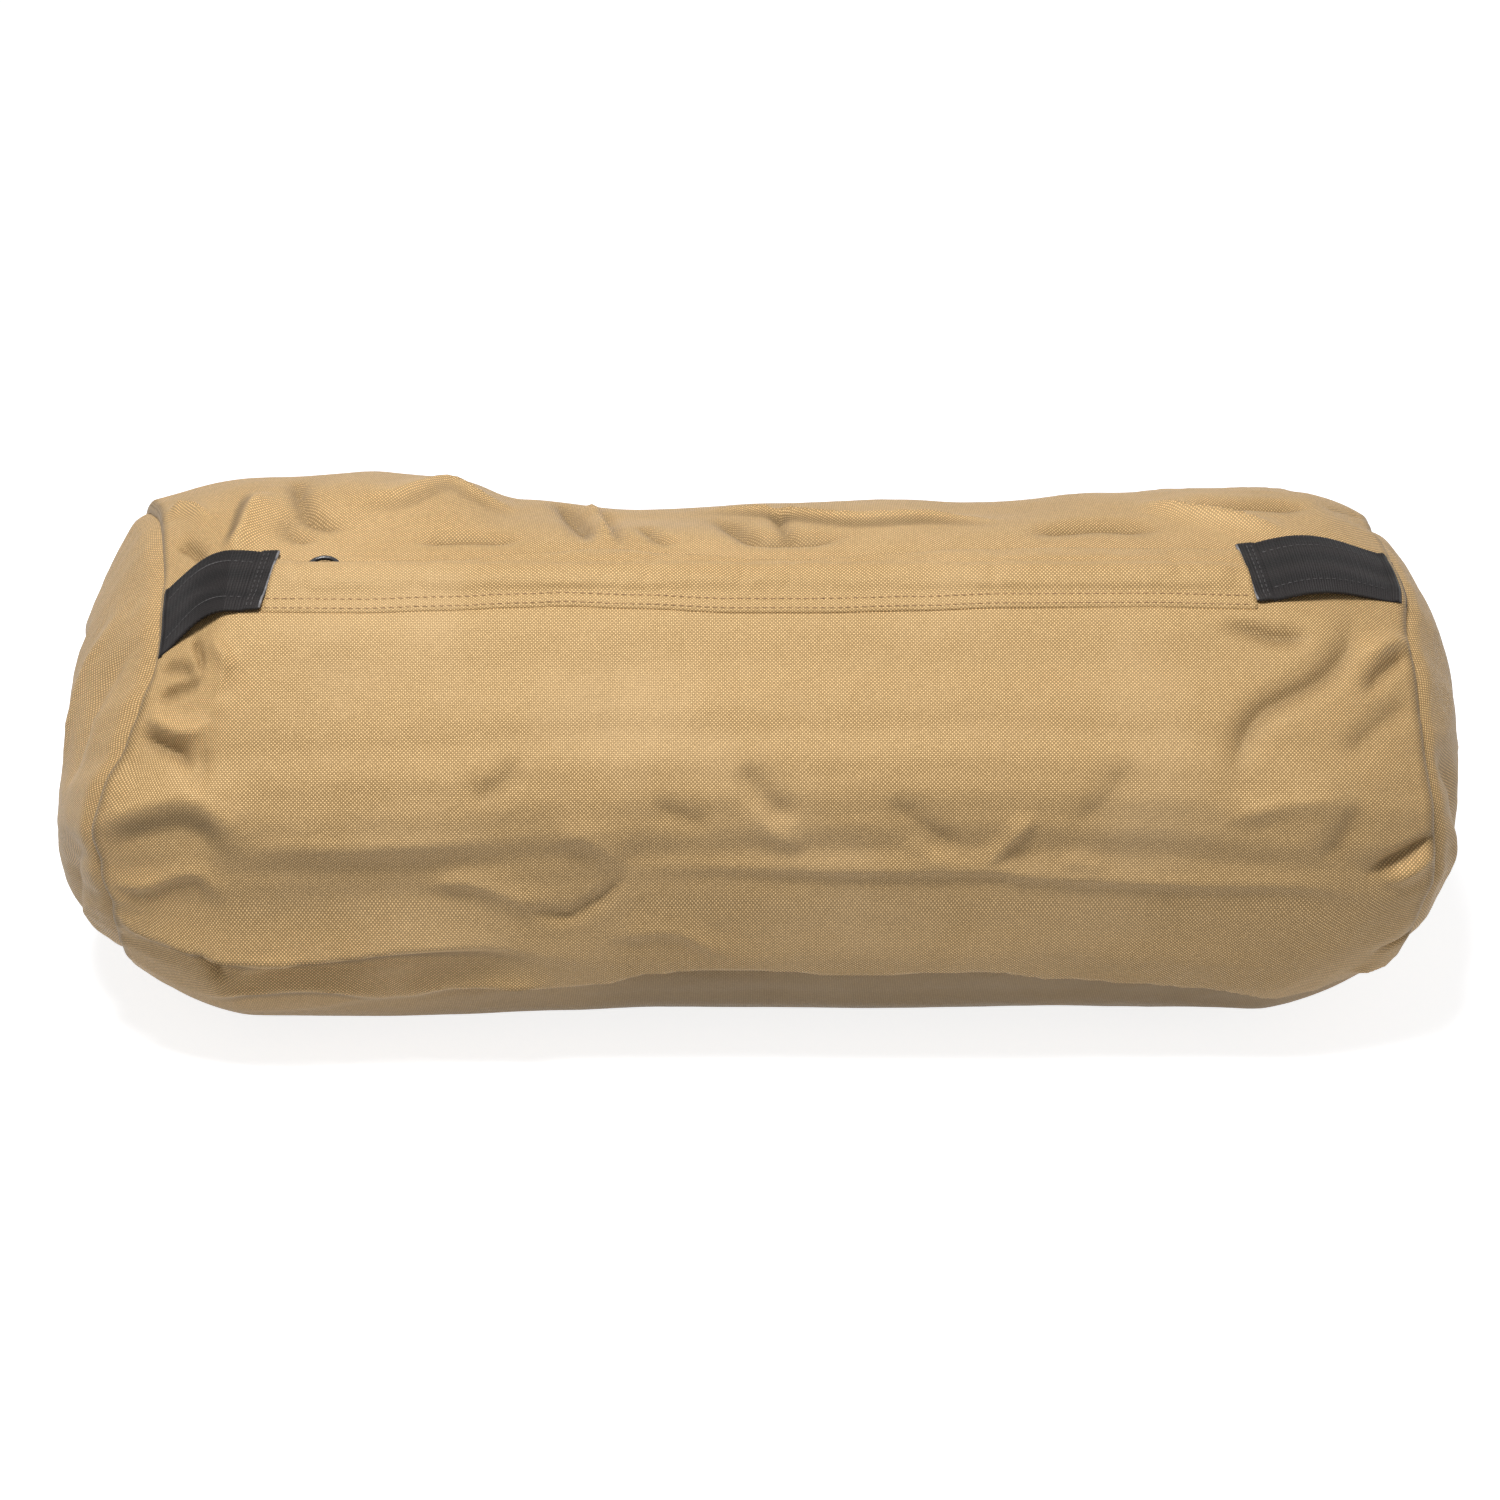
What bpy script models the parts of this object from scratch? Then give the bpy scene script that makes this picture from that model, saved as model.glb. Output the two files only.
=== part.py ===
"""Sandbag trainer: a zipped fabric cylinder with two webbing grab straps and three sand fillers inside.

Metres, +Z up. X runs along the bag, and the zip faces front (-Y) and up. The origin is on the floor
under the middle of the bag. Angles round the bag start at the front (-Y) and rise over the top.
"""

import math

import bmesh
import bpy

# Bag shell
BAG_HALF_LENGTH = 0.340
BAG_RADIUS = 0.146
BAG_AXIS_HEIGHT = 0.119
BAG_SINK = 0.006
BELLY_POWER = 2.5
END_BELLY_POWER = 2.0
WALL = 0.0012
SEWN_GAP = 0.0003
ROUND_COUNT = 52
MIDDLE_COLUMNS = 20
END_COLUMNS = 5
MERGE_SHARE = 0.0001
SMOOTH_ANGLE = math.radians(35)

# The ends round over towards their seams and lift off the floor, and the seams lean in where the straps
# pull and where the bag turns under
ROUND_LENGTH = 0.072
LEFT_ROUND_SHARE = 0.07
RIGHT_ROUND_SHARE = 0.12
LEFT_LEAN = 0.036
LEFT_LEAN_ANGLE = math.radians(55)
RIGHT_LEAN = 0.012
RIGHT_LEAN_ANGLE = math.radians(75)
FLOOR_LEAN = 0.020
FLOOR_LEAN_POWER = 1.5
END_LIFT_SHARE = 0.2

# The slack top: its highest hump, its deepest dip, and the line that it follows between them.
# Each pair is a share of the half length and a share of the hump (above zero) or the dip (below).
TOP_HUMP = 0.009
TOP_DIP = 0.012
TOP_LINE_SHARES = (
    (-1.0, 0.3),
    (-0.78, 0.7),
    (-0.62, 1.0),
    (-0.5, 0.6),
    (-0.37, -0.55),
    (-0.19, -1.0),
    (0.03, -0.65),
    (0.2, -0.45),
    (0.36, -0.65),
    (0.55, -0.2),
    (0.72, 0.05),
    (1.0, 0.1),
)
SLACK_ANGLES = tuple(math.radians(d) for d in (79, 100, 132, 168))

# End caps
CAP_CROWN = 0.036
LEFT_CAP_SAG = 0.034
CAP_DOME_POWER = 2.6
CAP_RINGS = 6
CAP_SKIRT = 0.009
BINDING_WIDTH = 0.007
BINDING_THICKNESS = 0.0008

# Zip, placed by the distance up the slope from its middle line and the distance out of its plane
ZIP_ANGLE = math.radians(68)
ZIP_END_MARGIN = 0.097
SLOT_HALF_WIDTH = 0.009
TAPE_THICKNESS = 0.0008
TAPE_INNER = 0.0048
TAPE_OUTER = 0.019
TAPE_OVERLAP = 0.006
COIL_INNER = 0.00075
COIL_OUTER = 0.0045
COIL_HALF_HEIGHT = 0.0014
COIL_END_MARGIN = 0.005
COIL_ROUNDING = 0.0009
STOP_LENGTH = 0.0045

# Slider and its loop
SLIDER_REST_GAP = 0.0095
SLIDER_HALF_LENGTH = 0.0085
SLIDER_HALF_WIDTH = 0.0068
PLATE_THICKNESS = 0.0013
FLANGE_THICKNESS = 0.0013
TAPE_SLIT = 0.0019
POST_WIDTH = 0.0009
POST_LENGTH = 0.003
BAIL_HALF_WIDTH = 0.0016
BAIL_HALF_SPAN = 0.0045
BAIL_THICKNESS = 0.0011
PULL_ROD = 0.0026
PULL_BAR_HALF = 0.0058
PULL_ARC_RADIUS = 0.0085
PULL_LENGTH = 0.0132
PULL_ARC_STEPS = 14
PULL_ARC_SPREAD = math.radians(200)
PULL_BAR_FLAT_SHARE = 0.8

# Storm flap over the zip, sewn along its lower edge and free along its upper one
FLAP_THICKNESS = 0.0012
FLAP_HINGE = -0.0135
FLAP_SEAM_WIDTH = 0.0065
FLAP_EDGE = 0.0080
FLAP_OVERLAP = 0.0055
FLAP_COLUMNS = 12
FLAP_RISE = 0.0072
FLAP_EDGE_CLEARANCE = 0.0005
FLAP_RISE_SHARES = ((0.35, 0.32), (0.75, 0.82))

# Webbing straps, sewn down at both ends and standing off the bag between them
STRAP_WIDTH = 0.038
STRAP_THICKNESS = 0.0018
STRAP_ARCH = 0.0148
LEFT_STRAP_GAP = 0.0017
RIGHT_STRAP_GAP = 0.0045
STRAP_ARCH_POWER = 1.2
STRAP_SEWN_LENGTH = 0.009
STRAP_END_CLEARANCE = 0.0025
STRAP_COLUMNS = 18
STRAP_ROWS = 6

# Sand fillers in a row inside, each a pouch with a flat mouth that closes with a pair of strips
FILLER_COUNT = 3
FILLER_END_MARGIN = 0.005
FILLER_GAP = 0.003
FILLER_NECK_LENGTH = 0.031
FILLER_LIP_LENGTH = 0.015
FILLER_CLEARANCE = 0.009
FILLER_END_HEIGHT = 0.070
FILLER_SINK_SHARE = 0.2
FILLER_WALL = 0.0008
FILLER_END_LENGTH = 0.0593
FILLER_END_POWER = 0.5
FILLER_ROUND_COUNT = 26
FILLER_COLUMNS = 6
NECK_COLUMNS = 3
MOUTH_HALF_WIDTH = 0.068
MOUTH_POWER = 6.0
STRIP_THICKNESS = 0.0016
STRIP_HALF_WIDTH = 0.050
SAND_SLUMP_SHARES = ((0.35, 0.93), (0.6, 0.7), (0.7, 0.0))

ROUND_START = BAG_HALF_LENGTH - ROUND_LENGTH
ZIP_HALF_LENGTH = BAG_HALF_LENGTH - ZIP_END_MARGIN
COIL_HALF_LENGTH = ZIP_HALF_LENGTH - COIL_END_MARGIN
FLAP_HALF_LENGTH = ZIP_HALF_LENGTH + FLAP_OVERLAP
SLIDER_REST = SLIDER_HALF_LENGTH + SLIDER_REST_GAP - COIL_HALF_LENGTH
FILLER_SPACING = 2 * (BAG_HALF_LENGTH - FILLER_END_MARGIN) / FILLER_COUNT
FILLER_BODY_LENGTH = FILLER_SPACING - FILLER_NECK_LENGTH - FILLER_LIP_LENGTH - FILLER_GAP
ZIP_RADIUS = BAG_RADIUS - WALL - SEWN_GAP - TAPE_THICKNESS / 2
SHELL_TOP = BAG_RADIUS - ZIP_RADIUS
PLATE_INNER = COIL_HALF_HEIGHT + SEWN_GAP
PLATE_OUTER = PLATE_INNER + PLATE_THICKNESS
PULL_HEIGHT = PLATE_OUTER + SEWN_GAP + PULL_ROD / 2
BAIL_UNDER = PULL_HEIGHT + PULL_ROD / 2 + SEWN_GAP
BAIL_TOP = BAIL_UNDER + BAIL_THICKNESS
MOUTH_HALF_HEIGHT = FILLER_WALL + STRIP_THICKNESS + 2 * SEWN_GAP

COLOURS = {
    "nylon": ((0.45, 0.31, 0.15), 0.85, 0.0),
    "lining": ((0.36, 0.26, 0.14), 0.9, 0.0),
    "webbing": ((0.02, 0.02, 0.022), 0.65, 0.0),
    "zip": ((0.025, 0.025, 0.028), 0.5, 0.0),
    "metal": ((0.03, 0.03, 0.033), 0.3, 1.0),
    "loop": ((0.015, 0.015, 0.017), 0.25, 0.0),
    "pouch": ((0.05, 0.05, 0.055), 0.7, 0.0),
    "sand": ((0.55, 0.43, 0.27), 1.0, 0.0),
}


def clear_scene():
    for old in list(bpy.data.objects):
        bpy.data.objects.remove(old)


def new_collection(name):
    made = bpy.data.collections.new(name)
    bpy.context.scene.collection.children.link(made)
    return made


def finish_piece(obj, look, collection):
    """Gives the object its own material and files it in its collection."""
    colour, roughness, metallic = COLOURS[look]
    material = bpy.data.materials.new(obj.name)
    material.use_nodes = True
    shader = material.node_tree.nodes["Principled BSDF"]
    shader.inputs["Base Color"].default_value = (*colour, 1.0)
    shader.inputs["Roughness"].default_value = roughness
    shader.inputs["Metallic"].default_value = metallic
    obj.data.materials.clear()
    obj.data.materials.append(material)
    collection.objects.link(obj)
    return obj


def object_from(bm, name, look, collection):
    mesh = bpy.data.meshes.new(name)
    bm.to_mesh(mesh)
    bm.free()
    mesh.shade_smooth()
    mesh.set_sharp_from_angle(angle=SMOOTH_ANGLE)
    return finish_piece(bpy.data.objects.new(name, mesh), look, collection)


def smooth_step(value, start, end):
    share = min(max((value - start) / (end - start), 0.0), 1.0)
    return share * share * (3 - 2 * share)


# Shape of the filled bag


def top_swell(x):
    """How far the slack top stands above the round section (or dips below it) at this place."""
    share = x / BAG_HALF_LENGTH
    points = TOP_LINE_SHARES
    level = points[0][1] if share < 0 else points[-1][1]
    for (start, low), (end, high) in zip(points, points[1:]):
        if start <= share <= end:
            level = low + (high - low) * smooth_step(share, start, end)
    return level * (TOP_HUMP if level > 0 else TOP_DIP)


def slack_window(angle):
    rise, full, fall, end = SLACK_ANGLES
    return smooth_step(angle, rise, full) * (1 - smooth_step(angle, fall, end))


def end_share(x):
    """0 along the middle of the bag, rising to 1 at its end seams."""
    return max(abs(x) - ROUND_START, 0.0) / (BAG_HALF_LENGTH - ROUND_START)


def end_shrink(x):
    share = LEFT_ROUND_SHARE if x < 0 else RIGHT_ROUND_SHARE
    return 1 - share * end_share(x) ** 2


def underside_shrink(x):
    return 1 - END_LIFT_SHARE * end_share(x) ** 2


def underside(x):
    """Height of the bag's lowest line: on the floor along the middle, lifting towards the ends."""
    return max(BAG_AXIS_HEIGHT - (BAG_AXIS_HEIGHT + BAG_SINK) * underside_shrink(x), 0.0)


def seam_lean(side, angle):
    lean, middle = (LEFT_LEAN, LEFT_LEAN_ANGLE) if side < 0 else (RIGHT_LEAN, RIGHT_LEAN_ANGLE)
    under = FLOOR_LEAN * max(-math.sin(angle), 0.0) ** FLOOR_LEAN_POWER
    return lean * max(math.cos(angle - middle), 0.0) ** 2 + under


def leaned(x, angle):
    """Where a place at nominal x ends up once its end seam leans in."""
    side = -1 if x < 0 else 1
    return x - side * seam_lean(side, angle) * min(end_share(x), 1.0)


def section_radius(x, angle):
    return BAG_RADIUS * end_shrink(x) + top_swell(x) * slack_window(angle)


def section_point(x, angle, inset=0.0, floor=0.0, sink=None):
    """(y, z) on the bag's section: round above its axis, bellied and cut flat on the floor below it."""
    radius = section_radius(x, angle) - inset
    across, up = math.cos(angle), math.sin(angle)
    if up >= 0:
        return -radius * across, BAG_AXIS_HEIGHT + radius * up
    depth = (BAG_AXIS_HEIGHT + BAG_SINK) * underside_shrink(x) - inset
    if sink is not None:
        depth = (BAG_AXIS_HEIGHT + sink) * underside_shrink(x)
    belly = 2 / (BELLY_POWER + (END_BELLY_POWER - BELLY_POWER) * min(end_share(x), 1.0))
    y = -radius * math.copysign(abs(across) ** belly, across)
    return y, max(BAG_AXIS_HEIGHT - depth * abs(up) ** belly, floor)


def zip_point(x, slope, out):
    """A place given up the slope from the zip's middle line and out of the zip's curved surface."""
    angle = ZIP_ANGLE + slope / ZIP_RADIUS
    radius = ZIP_RADIUS + out
    return x, -radius * math.cos(angle), BAG_AXIS_HEIGHT + radius * math.sin(angle)


def zip_flat_point(x, slope, out):
    """A place in the flat frame that the slider runs in: up the slope, and out of the bag."""
    across, up = math.cos(ZIP_ANGLE), math.sin(ZIP_ANGLE)
    y = -(ZIP_RADIUS + out) * across + slope * up
    z = BAG_AXIS_HEIGHT + (ZIP_RADIUS + out) * up + slope * across
    return x, y, z


# Building blocks


def sheet(name, columns, rows, place, thickness, outward, look, collection, keep=None):
    """A curved sheet: a grid whose corner (i, j) goes to place(i, j), thickened to one side."""
    bm = bmesh.new()
    bmesh.ops.create_grid(bm, x_segments=columns, y_segments=rows, size=1)
    cells = {}
    for vertex in bm.verts:
        i = round((vertex.co.x + 1) / 2 * columns)
        j = round((vertex.co.y + 1) / 2 * rows)
        cells[vertex] = (i, j)
    if keep:
        spare = [f for f in bm.faces if not keep(*(min(cells[v][k] for v in f.verts) for k in (0, 1)))]
        bmesh.ops.delete(bm, geom=spare, context="FACES")
    for vertex in bm.verts:
        vertex.co = place(*cells[vertex])
    bmesh.ops.remove_doubles(bm, verts=bm.verts, dist=WALL * MERGE_SHARE)
    obj = object_from(bm, name, look, collection)
    solid = obj.modifiers.new("Thickness", "SOLIDIFY")
    solid.thickness = thickness
    solid.offset = 1 if outward else -1
    solid.use_even_offset = True
    return obj


def flat_box(bm, x_range, slope_range, out_range):
    """A box in the slider's flat frame."""
    made = bmesh.ops.create_cube(bm, size=1)["verts"]
    ranges = (x_range, slope_range, out_range)
    for vertex in made:
        spot = [low + (high - low) * (c + 0.5) for c, (low, high) in zip(vertex.co, ranges)]
        vertex.co = zip_flat_point(*spot)
    return made


def box_piece(name, x_range, slope_range, out_range, look, collection, rounding=0.0):
    bm = bmesh.new()
    flat_box(bm, x_range, slope_range, out_range)
    if rounding:
        along = [e for e in bm.edges if abs(e.verts[0].co.x - e.verts[1].co.x) > rounding]
        bmesh.ops.bevel(bm, geom=along, offset=rounding, segments=3, affect="EDGES", profile=0.5)
    bmesh.ops.recalc_face_normals(bm, faces=bm.faces)
    return object_from(bm, name, look, collection)


# Bag pieces


def shell_columns():
    """Nominal x of each column of the shell: even along the zip, closer where the ends round over."""
    step = 2 * ZIP_HALF_LENGTH / MIDDLE_COLUMNS
    middle = [-ZIP_HALF_LENGTH + k * step for k in range(MIDDLE_COLUMNS + 1)]
    reach = BAG_HALF_LENGTH - ZIP_HALF_LENGTH
    outer = [ZIP_HALF_LENGTH + reach * k / END_COLUMNS for k in range(1, END_COLUMNS + 1)]
    return [-x for x in reversed(outer)] + middle + outer


def shell_angles():
    """The slot takes the last step round, and the rest of the round is in even steps."""
    slot = SLOT_HALF_WIDTH / ZIP_RADIUS
    turn = 2 * math.pi - 2 * slot
    angles = [ZIP_ANGLE + slot + turn * k / ROUND_COUNT for k in range(ROUND_COUNT + 1)]
    return angles + [angles[0] + 2 * math.pi]


def round_point(x, angle, inset=0.0):
    turned = (angle + math.pi / 2) % (2 * math.pi) - math.pi / 2
    return (leaned(x, turned), *section_point(x, turned, inset))


def build_shell(collection):
    xs, angles = shell_columns(), shell_angles()

    def place(i, j):
        return round_point(xs[i], angles[j])

    def outside_slot(i, j):
        return j < ROUND_COUNT or not END_COLUMNS <= i < END_COLUMNS + MIDDLE_COLUMNS

    return sheet(
        "bag_shell", len(xs) - 1, len(angles) - 1, place, WALL, False, "nylon", collection, outside_slot
    )


def cap_rim(side, angle):
    return round_point(side * BAG_HALF_LENGTH, angle, WALL + SEWN_GAP)


def build_cap(name, side, collection):
    """A domed end cap whose edge turns in under the shell, and whose crown sags on the left."""
    crown = side * (BAG_HALF_LENGTH + CAP_CROWN)
    middle = BAG_AXIS_HEIGHT - (LEFT_CAP_SAG if side < 0 else 0)

    def place(i, j):
        x, y, z = cap_rim(side, side * 2 * math.pi * i / ROUND_COUNT)
        if j > CAP_RINGS:
            return x - side * CAP_SKIRT, y, z
        share = j / CAP_RINGS
        rise = 1 - share**CAP_DOME_POWER
        return x + (crown - x) * rise, y * share, middle + (z - middle) * share

    return sheet(name, ROUND_COUNT, CAP_RINGS + 1, place, WALL, False, "nylon", collection)


def build_binding(name, side, collection):
    """The tape that covers the raw seam edge inside the bag."""
    inset = 2 * (WALL + SEWN_GAP)

    def place(i, j):
        angle = 2 * math.pi * i / ROUND_COUNT
        x, y, z = round_point(side * BAG_HALF_LENGTH, angle, inset)
        start = x - side * (CAP_SKIRT - BINDING_WIDTH)
        return start - j * side * BINDING_WIDTH, y, z

    return sheet(name, ROUND_COUNT, 1, place, BINDING_THICKNESS, side < 0, "lining", collection)


def build_strap(name, side, start, collection):
    """A webbing strap along the zip's line, from its sewn hem to the end seam."""
    end = BAG_HALF_LENGTH - STRAP_END_CLEARANCE

    def place(i, j):
        share = i / STRAP_COLUMNS
        nominal = side * (start + (end - start) * share)
        slope = STRAP_WIDTH * (j / STRAP_ROWS - 0.5)
        angle = ZIP_ANGLE + slope / BAG_RADIUS
        x = leaned(nominal, angle)
        sewn = STRAP_SEWN_LENGTH / (end - start)
        raised = min(max((share - sewn) / (1 - 2 * sewn), 0.0), 1.0)
        lift = math.sin(math.pi * raised) ** STRAP_ARCH_POWER
        radius = section_radius(nominal, ZIP_ANGLE) + SEWN_GAP + STRAP_ARCH * lift
        return x, -radius * math.cos(angle), BAG_AXIS_HEIGHT + radius * math.sin(angle)

    return sheet(
        name, STRAP_COLUMNS, STRAP_ROWS, place, STRAP_THICKNESS, side > 0, "webbing", collection
    )


# Zip pieces


def build_tape(name, side, collection):
    rows = 3

    def place(i, j):
        slope = side * (TAPE_INNER + (TAPE_OUTER - TAPE_INNER) * j / rows)
        reach = ZIP_HALF_LENGTH + TAPE_OVERLAP
        return zip_point(reach * (2 * i - 1), slope, -TAPE_THICKNESS / 2)

    return sheet(name, 1, rows, place, TAPE_THICKNESS, side > 0, "zip", collection)


def build_coil(name, side, collection):
    slopes = sorted((side * COIL_INNER, side * COIL_OUTER))
    reach = (-COIL_HALF_LENGTH, COIL_HALF_LENGTH)
    heights = (-COIL_HALF_HEIGHT, COIL_HALF_HEIGHT)
    return box_piece(name, reach, slopes, heights, "zip", collection, COIL_ROUNDING)


def build_stop(name, side, collection):
    near = COIL_HALF_LENGTH + SEWN_GAP
    reach = sorted((side * near, side * (near + STOP_LENGTH)))
    heights = (-COIL_HALF_HEIGHT, COIL_HALF_HEIGHT)
    return box_piece(name, reach, (-COIL_OUTER, COIL_OUTER), heights, "metal", collection)


def build_slider(collection, cutters):
    """Two plates on a thin post, with lips that leave a slit for the tapes and a bail on top."""
    left, right = SLIDER_REST - SLIDER_HALF_LENGTH, SLIDER_REST + SLIDER_HALF_LENGTH
    width = (-SLIDER_HALF_WIDTH, SLIDER_HALF_WIDTH)
    body = box_piece(
        "zip_slider", (left, right), width, (PLATE_INNER, PLATE_OUTER), "metal", collection
    )
    sunk = PLATE_THICKNESS / 2
    joined = [
        ((left, right), width, (-PLATE_OUTER, -PLATE_INNER)),
        (
            (SLIDER_REST - POST_LENGTH / 2, SLIDER_REST + POST_LENGTH / 2),
            (-POST_WIDTH / 2, POST_WIDTH / 2),
            (-PLATE_INNER - sunk, PLATE_INNER + sunk),
        ),
        (
            (SLIDER_REST - BAIL_HALF_WIDTH, SLIDER_REST + BAIL_HALF_WIDTH),
            (-BAIL_HALF_SPAN, BAIL_HALF_SPAN),
            (BAIL_UNDER, BAIL_TOP),
        ),
    ]
    for side in (-1, 1):
        lip = sorted((side * (SLIDER_HALF_WIDTH - FLANGE_THICKNESS), side * SLIDER_HALF_WIDTH))
        joined.append(((left, right), lip, (TAPE_SLIT / 2, PLATE_INNER + sunk)))
        joined.append(((left, right), lip, (-PLATE_INNER - sunk, -TAPE_SLIT / 2)))
        leg = sorted((side * (BAIL_HALF_SPAN - BAIL_THICKNESS), side * BAIL_HALF_SPAN))
        across = (SLIDER_REST - BAIL_HALF_WIDTH, SLIDER_REST + BAIL_HALF_WIDTH)
        joined.append((across, leg, (PLATE_OUTER - sunk, BAIL_TOP - BAIL_THICKNESS / 2)))
    for number, ranges in enumerate(joined):
        block = box_piece(f"slider_block_{number}", *ranges, "metal", cutters)
        block.hide_render = True
        block.display_type = "WIRE"
        union = body.modifiers.new(f"Join {number}", "BOOLEAN")
        union.operation = "UNION"
        union.object = block
    return body


def build_pull(collection):
    """A D-shaped loop of round rod whose straight bar runs under the bail."""
    centre = PULL_LENGTH - PULL_ARC_RADIUS
    outline = []
    for k in range(PULL_ARC_STEPS + 1):
        turn = math.pi / 2 + PULL_ARC_SPREAD * (k / PULL_ARC_STEPS - 0.5)
        outline.append((PULL_ARC_RADIUS * math.cos(turn), centre + PULL_ARC_RADIUS * math.sin(turn)))
    flat = PULL_BAR_HALF * PULL_BAR_FLAT_SHARE
    outline += [(-PULL_BAR_HALF, PULL_ROD / 4), (-flat, 0.0), (flat, 0.0), (PULL_BAR_HALF, PULL_ROD / 4)]
    curve = bpy.data.curves.new("zip_pull", "CURVE")
    curve.dimensions = "3D"
    curve.bevel_depth = PULL_ROD / 2
    curve.bevel_resolution = 2
    line = curve.splines.new("POLY")
    line.points.add(len(outline) - 1)
    line.use_cyclic_u = True
    for point, (along, slope) in zip(line.points, outline):
        point.co = (*zip_flat_point(along, slope, PULL_HEIGHT), 1.0)
    hinge = zip_flat_point(0.0, 0.0, PULL_HEIGHT)
    for point in line.points:
        point.co = [c - h for c, h in zip(point.co, (*hinge, 0.0))]
    pull = bpy.data.objects.new("zip_pull", curve)
    pull.location = (SLIDER_REST, *hinge[1:])
    return finish_piece(pull, "loop", collection)


def build_flap(collection):
    """The moving part of the storm flap: it rises clear over the slider and ends in a free edge."""
    base = SHELL_TOP + SEWN_GAP + FLAP_THICKNESS
    crest = BAIL_TOP + SEWN_GAP + FLAP_EDGE_CLEARANCE + FLAP_THICKNESS
    edge = PULL_HEIGHT + PULL_ROD / 2 + SEWN_GAP + FLAP_EDGE_CLEARANCE + FLAP_THICKNESS
    rising = [(FLAP_HINGE + FLAP_RISE * a, base + (crest - base) * b) for a, b in FLAP_RISE_SHARES]
    line = [
        (FLAP_HINGE, base),
        *rising,
        (FLAP_HINGE + FLAP_RISE, crest),
        (0.0, crest + FLAP_EDGE_CLEARANCE),
        (BAIL_HALF_SPAN, crest),
        (FLAP_EDGE, edge),
    ]
    hinge = zip_point(0.0, FLAP_HINGE, base)

    def place(i, j):
        x = FLAP_HALF_LENGTH * (2 * i / FLAP_COLUMNS - 1)
        return [c - h for c, h in zip(zip_point(x, *line[j]), hinge)]

    flap = sheet(
        "zip_flap", FLAP_COLUMNS, len(line) - 1, place, FLAP_THICKNESS, False, "nylon", collection
    )
    flap.location = hinge
    return flap


def build_flap_seam(collection):
    rows = 2

    def place(i, j):
        slope = FLAP_HINGE - SEWN_GAP - FLAP_SEAM_WIDTH * (1 - j / rows)
        x = FLAP_HALF_LENGTH * (2 * i - 1)
        return zip_point(x, slope, SHELL_TOP + SEWN_GAP)

    return sheet("flap_seam", 1, rows, place, FLAP_THICKNESS, True, "nylon", collection)


# Fillers


def filler_underside(x, inset):
    return underside(x) + WALL + SEWN_GAP + inset


def filler_section(x, angle, inset, mouth):
    """(y, z) on a filler's section, which turns from the bag's round (mouth 0) into a flat slot (mouth 1)."""
    clearance = FILLER_CLEARANCE + inset
    sink = BAG_SINK * FILLER_SINK_SHARE - inset
    y, z = section_point(x, angle, clearance, filler_underside(x, inset), sink)
    across, up = math.cos(angle), math.sin(angle)
    flat = 2 / MOUTH_POWER
    slot_y = -(MOUTH_HALF_WIDTH - inset) * math.copysign(abs(across) ** flat, across)
    slot_z = (MOUTH_HALF_HEIGHT - inset) * math.copysign(abs(up) ** flat, up)
    blend = smooth_step(mouth, 0.0, 1.0)
    return y + (slot_y - y) * blend, z + (BAG_AXIS_HEIGHT + slot_z - z) * blend


def filler_point(row, turn, inset):
    """A point of a filler's skin: full scales its section down to the point that its end closes to."""
    x, full, mouth = row
    angle = 2 * math.pi * turn / FILLER_ROUND_COUNT - math.pi / 2
    y, z = filler_section(x, angle, inset, mouth)
    return x, y * full, FILLER_END_HEIGHT + (z - FILLER_END_HEIGHT) * full


def closed_end_rows(start, length, inset):
    """(x, full, mouth) rows from a filler's closed end along its body."""
    rows = [(start + inset, 0.0, 0.0)]
    for k in range(1, FILLER_COLUMNS + 1):
        along = k / FILLER_COLUMNS
        rounding = min(along * length / FILLER_END_LENGTH, 1.0)
        full = math.sin(math.pi / 2 * rounding) ** FILLER_END_POWER
        rows.append((start + inset + (length - inset) * along, full, 0.0))
    return rows


def build_pouch(number, start, collection):
    rows = closed_end_rows(start, FILLER_BODY_LENGTH, 0.0)
    neck = start + FILLER_BODY_LENGTH
    for k in range(1, NECK_COLUMNS + 1):
        share = k / NECK_COLUMNS
        rows.append((neck + FILLER_NECK_LENGTH * share, 1.0, share))
    rows.append((neck + FILLER_NECK_LENGTH + FILLER_LIP_LENGTH, 1.0, 1.0))

    def place(i, j):
        return filler_point(rows[i], j, 0.0)

    name = f"filler_pouch_{number}"
    return sheet(name, len(rows) - 1, FILLER_ROUND_COUNT, place, FILLER_WALL, False, "pouch", collection)


def build_sand(number, start, collection):
    """The sand in a pouch: the pouch's own shape, just inside it, with a slumped end before the neck."""
    inset = FILLER_WALL + SEWN_GAP
    rows = closed_end_rows(start, FILLER_BODY_LENGTH, inset)[:-1]
    last = rows[-1][0]
    for along, full in SAND_SLUMP_SHARES:
        rows.append((last + (start + FILLER_BODY_LENGTH - last) * along, full, 0.0))
    return closed_loft(f"filler_sand_{number}", rows, inset, collection)


def closed_loft(name, rows, inset, collection):
    """A closed body through rows that shrink to a point at both ends."""
    bm = bmesh.new()
    bmesh.ops.create_grid(bm, x_segments=len(rows) - 1, y_segments=FILLER_ROUND_COUNT, size=1)
    for vertex in bm.verts:
        i = round((vertex.co.x + 1) / 2 * (len(rows) - 1))
        j = round((vertex.co.y + 1) / 2 * FILLER_ROUND_COUNT)
        vertex.co = filler_point(rows[i], j, inset)
    bmesh.ops.remove_doubles(bm, verts=bm.verts, dist=WALL * MERGE_SHARE)
    return object_from(bm, name, "sand", collection)


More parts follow.
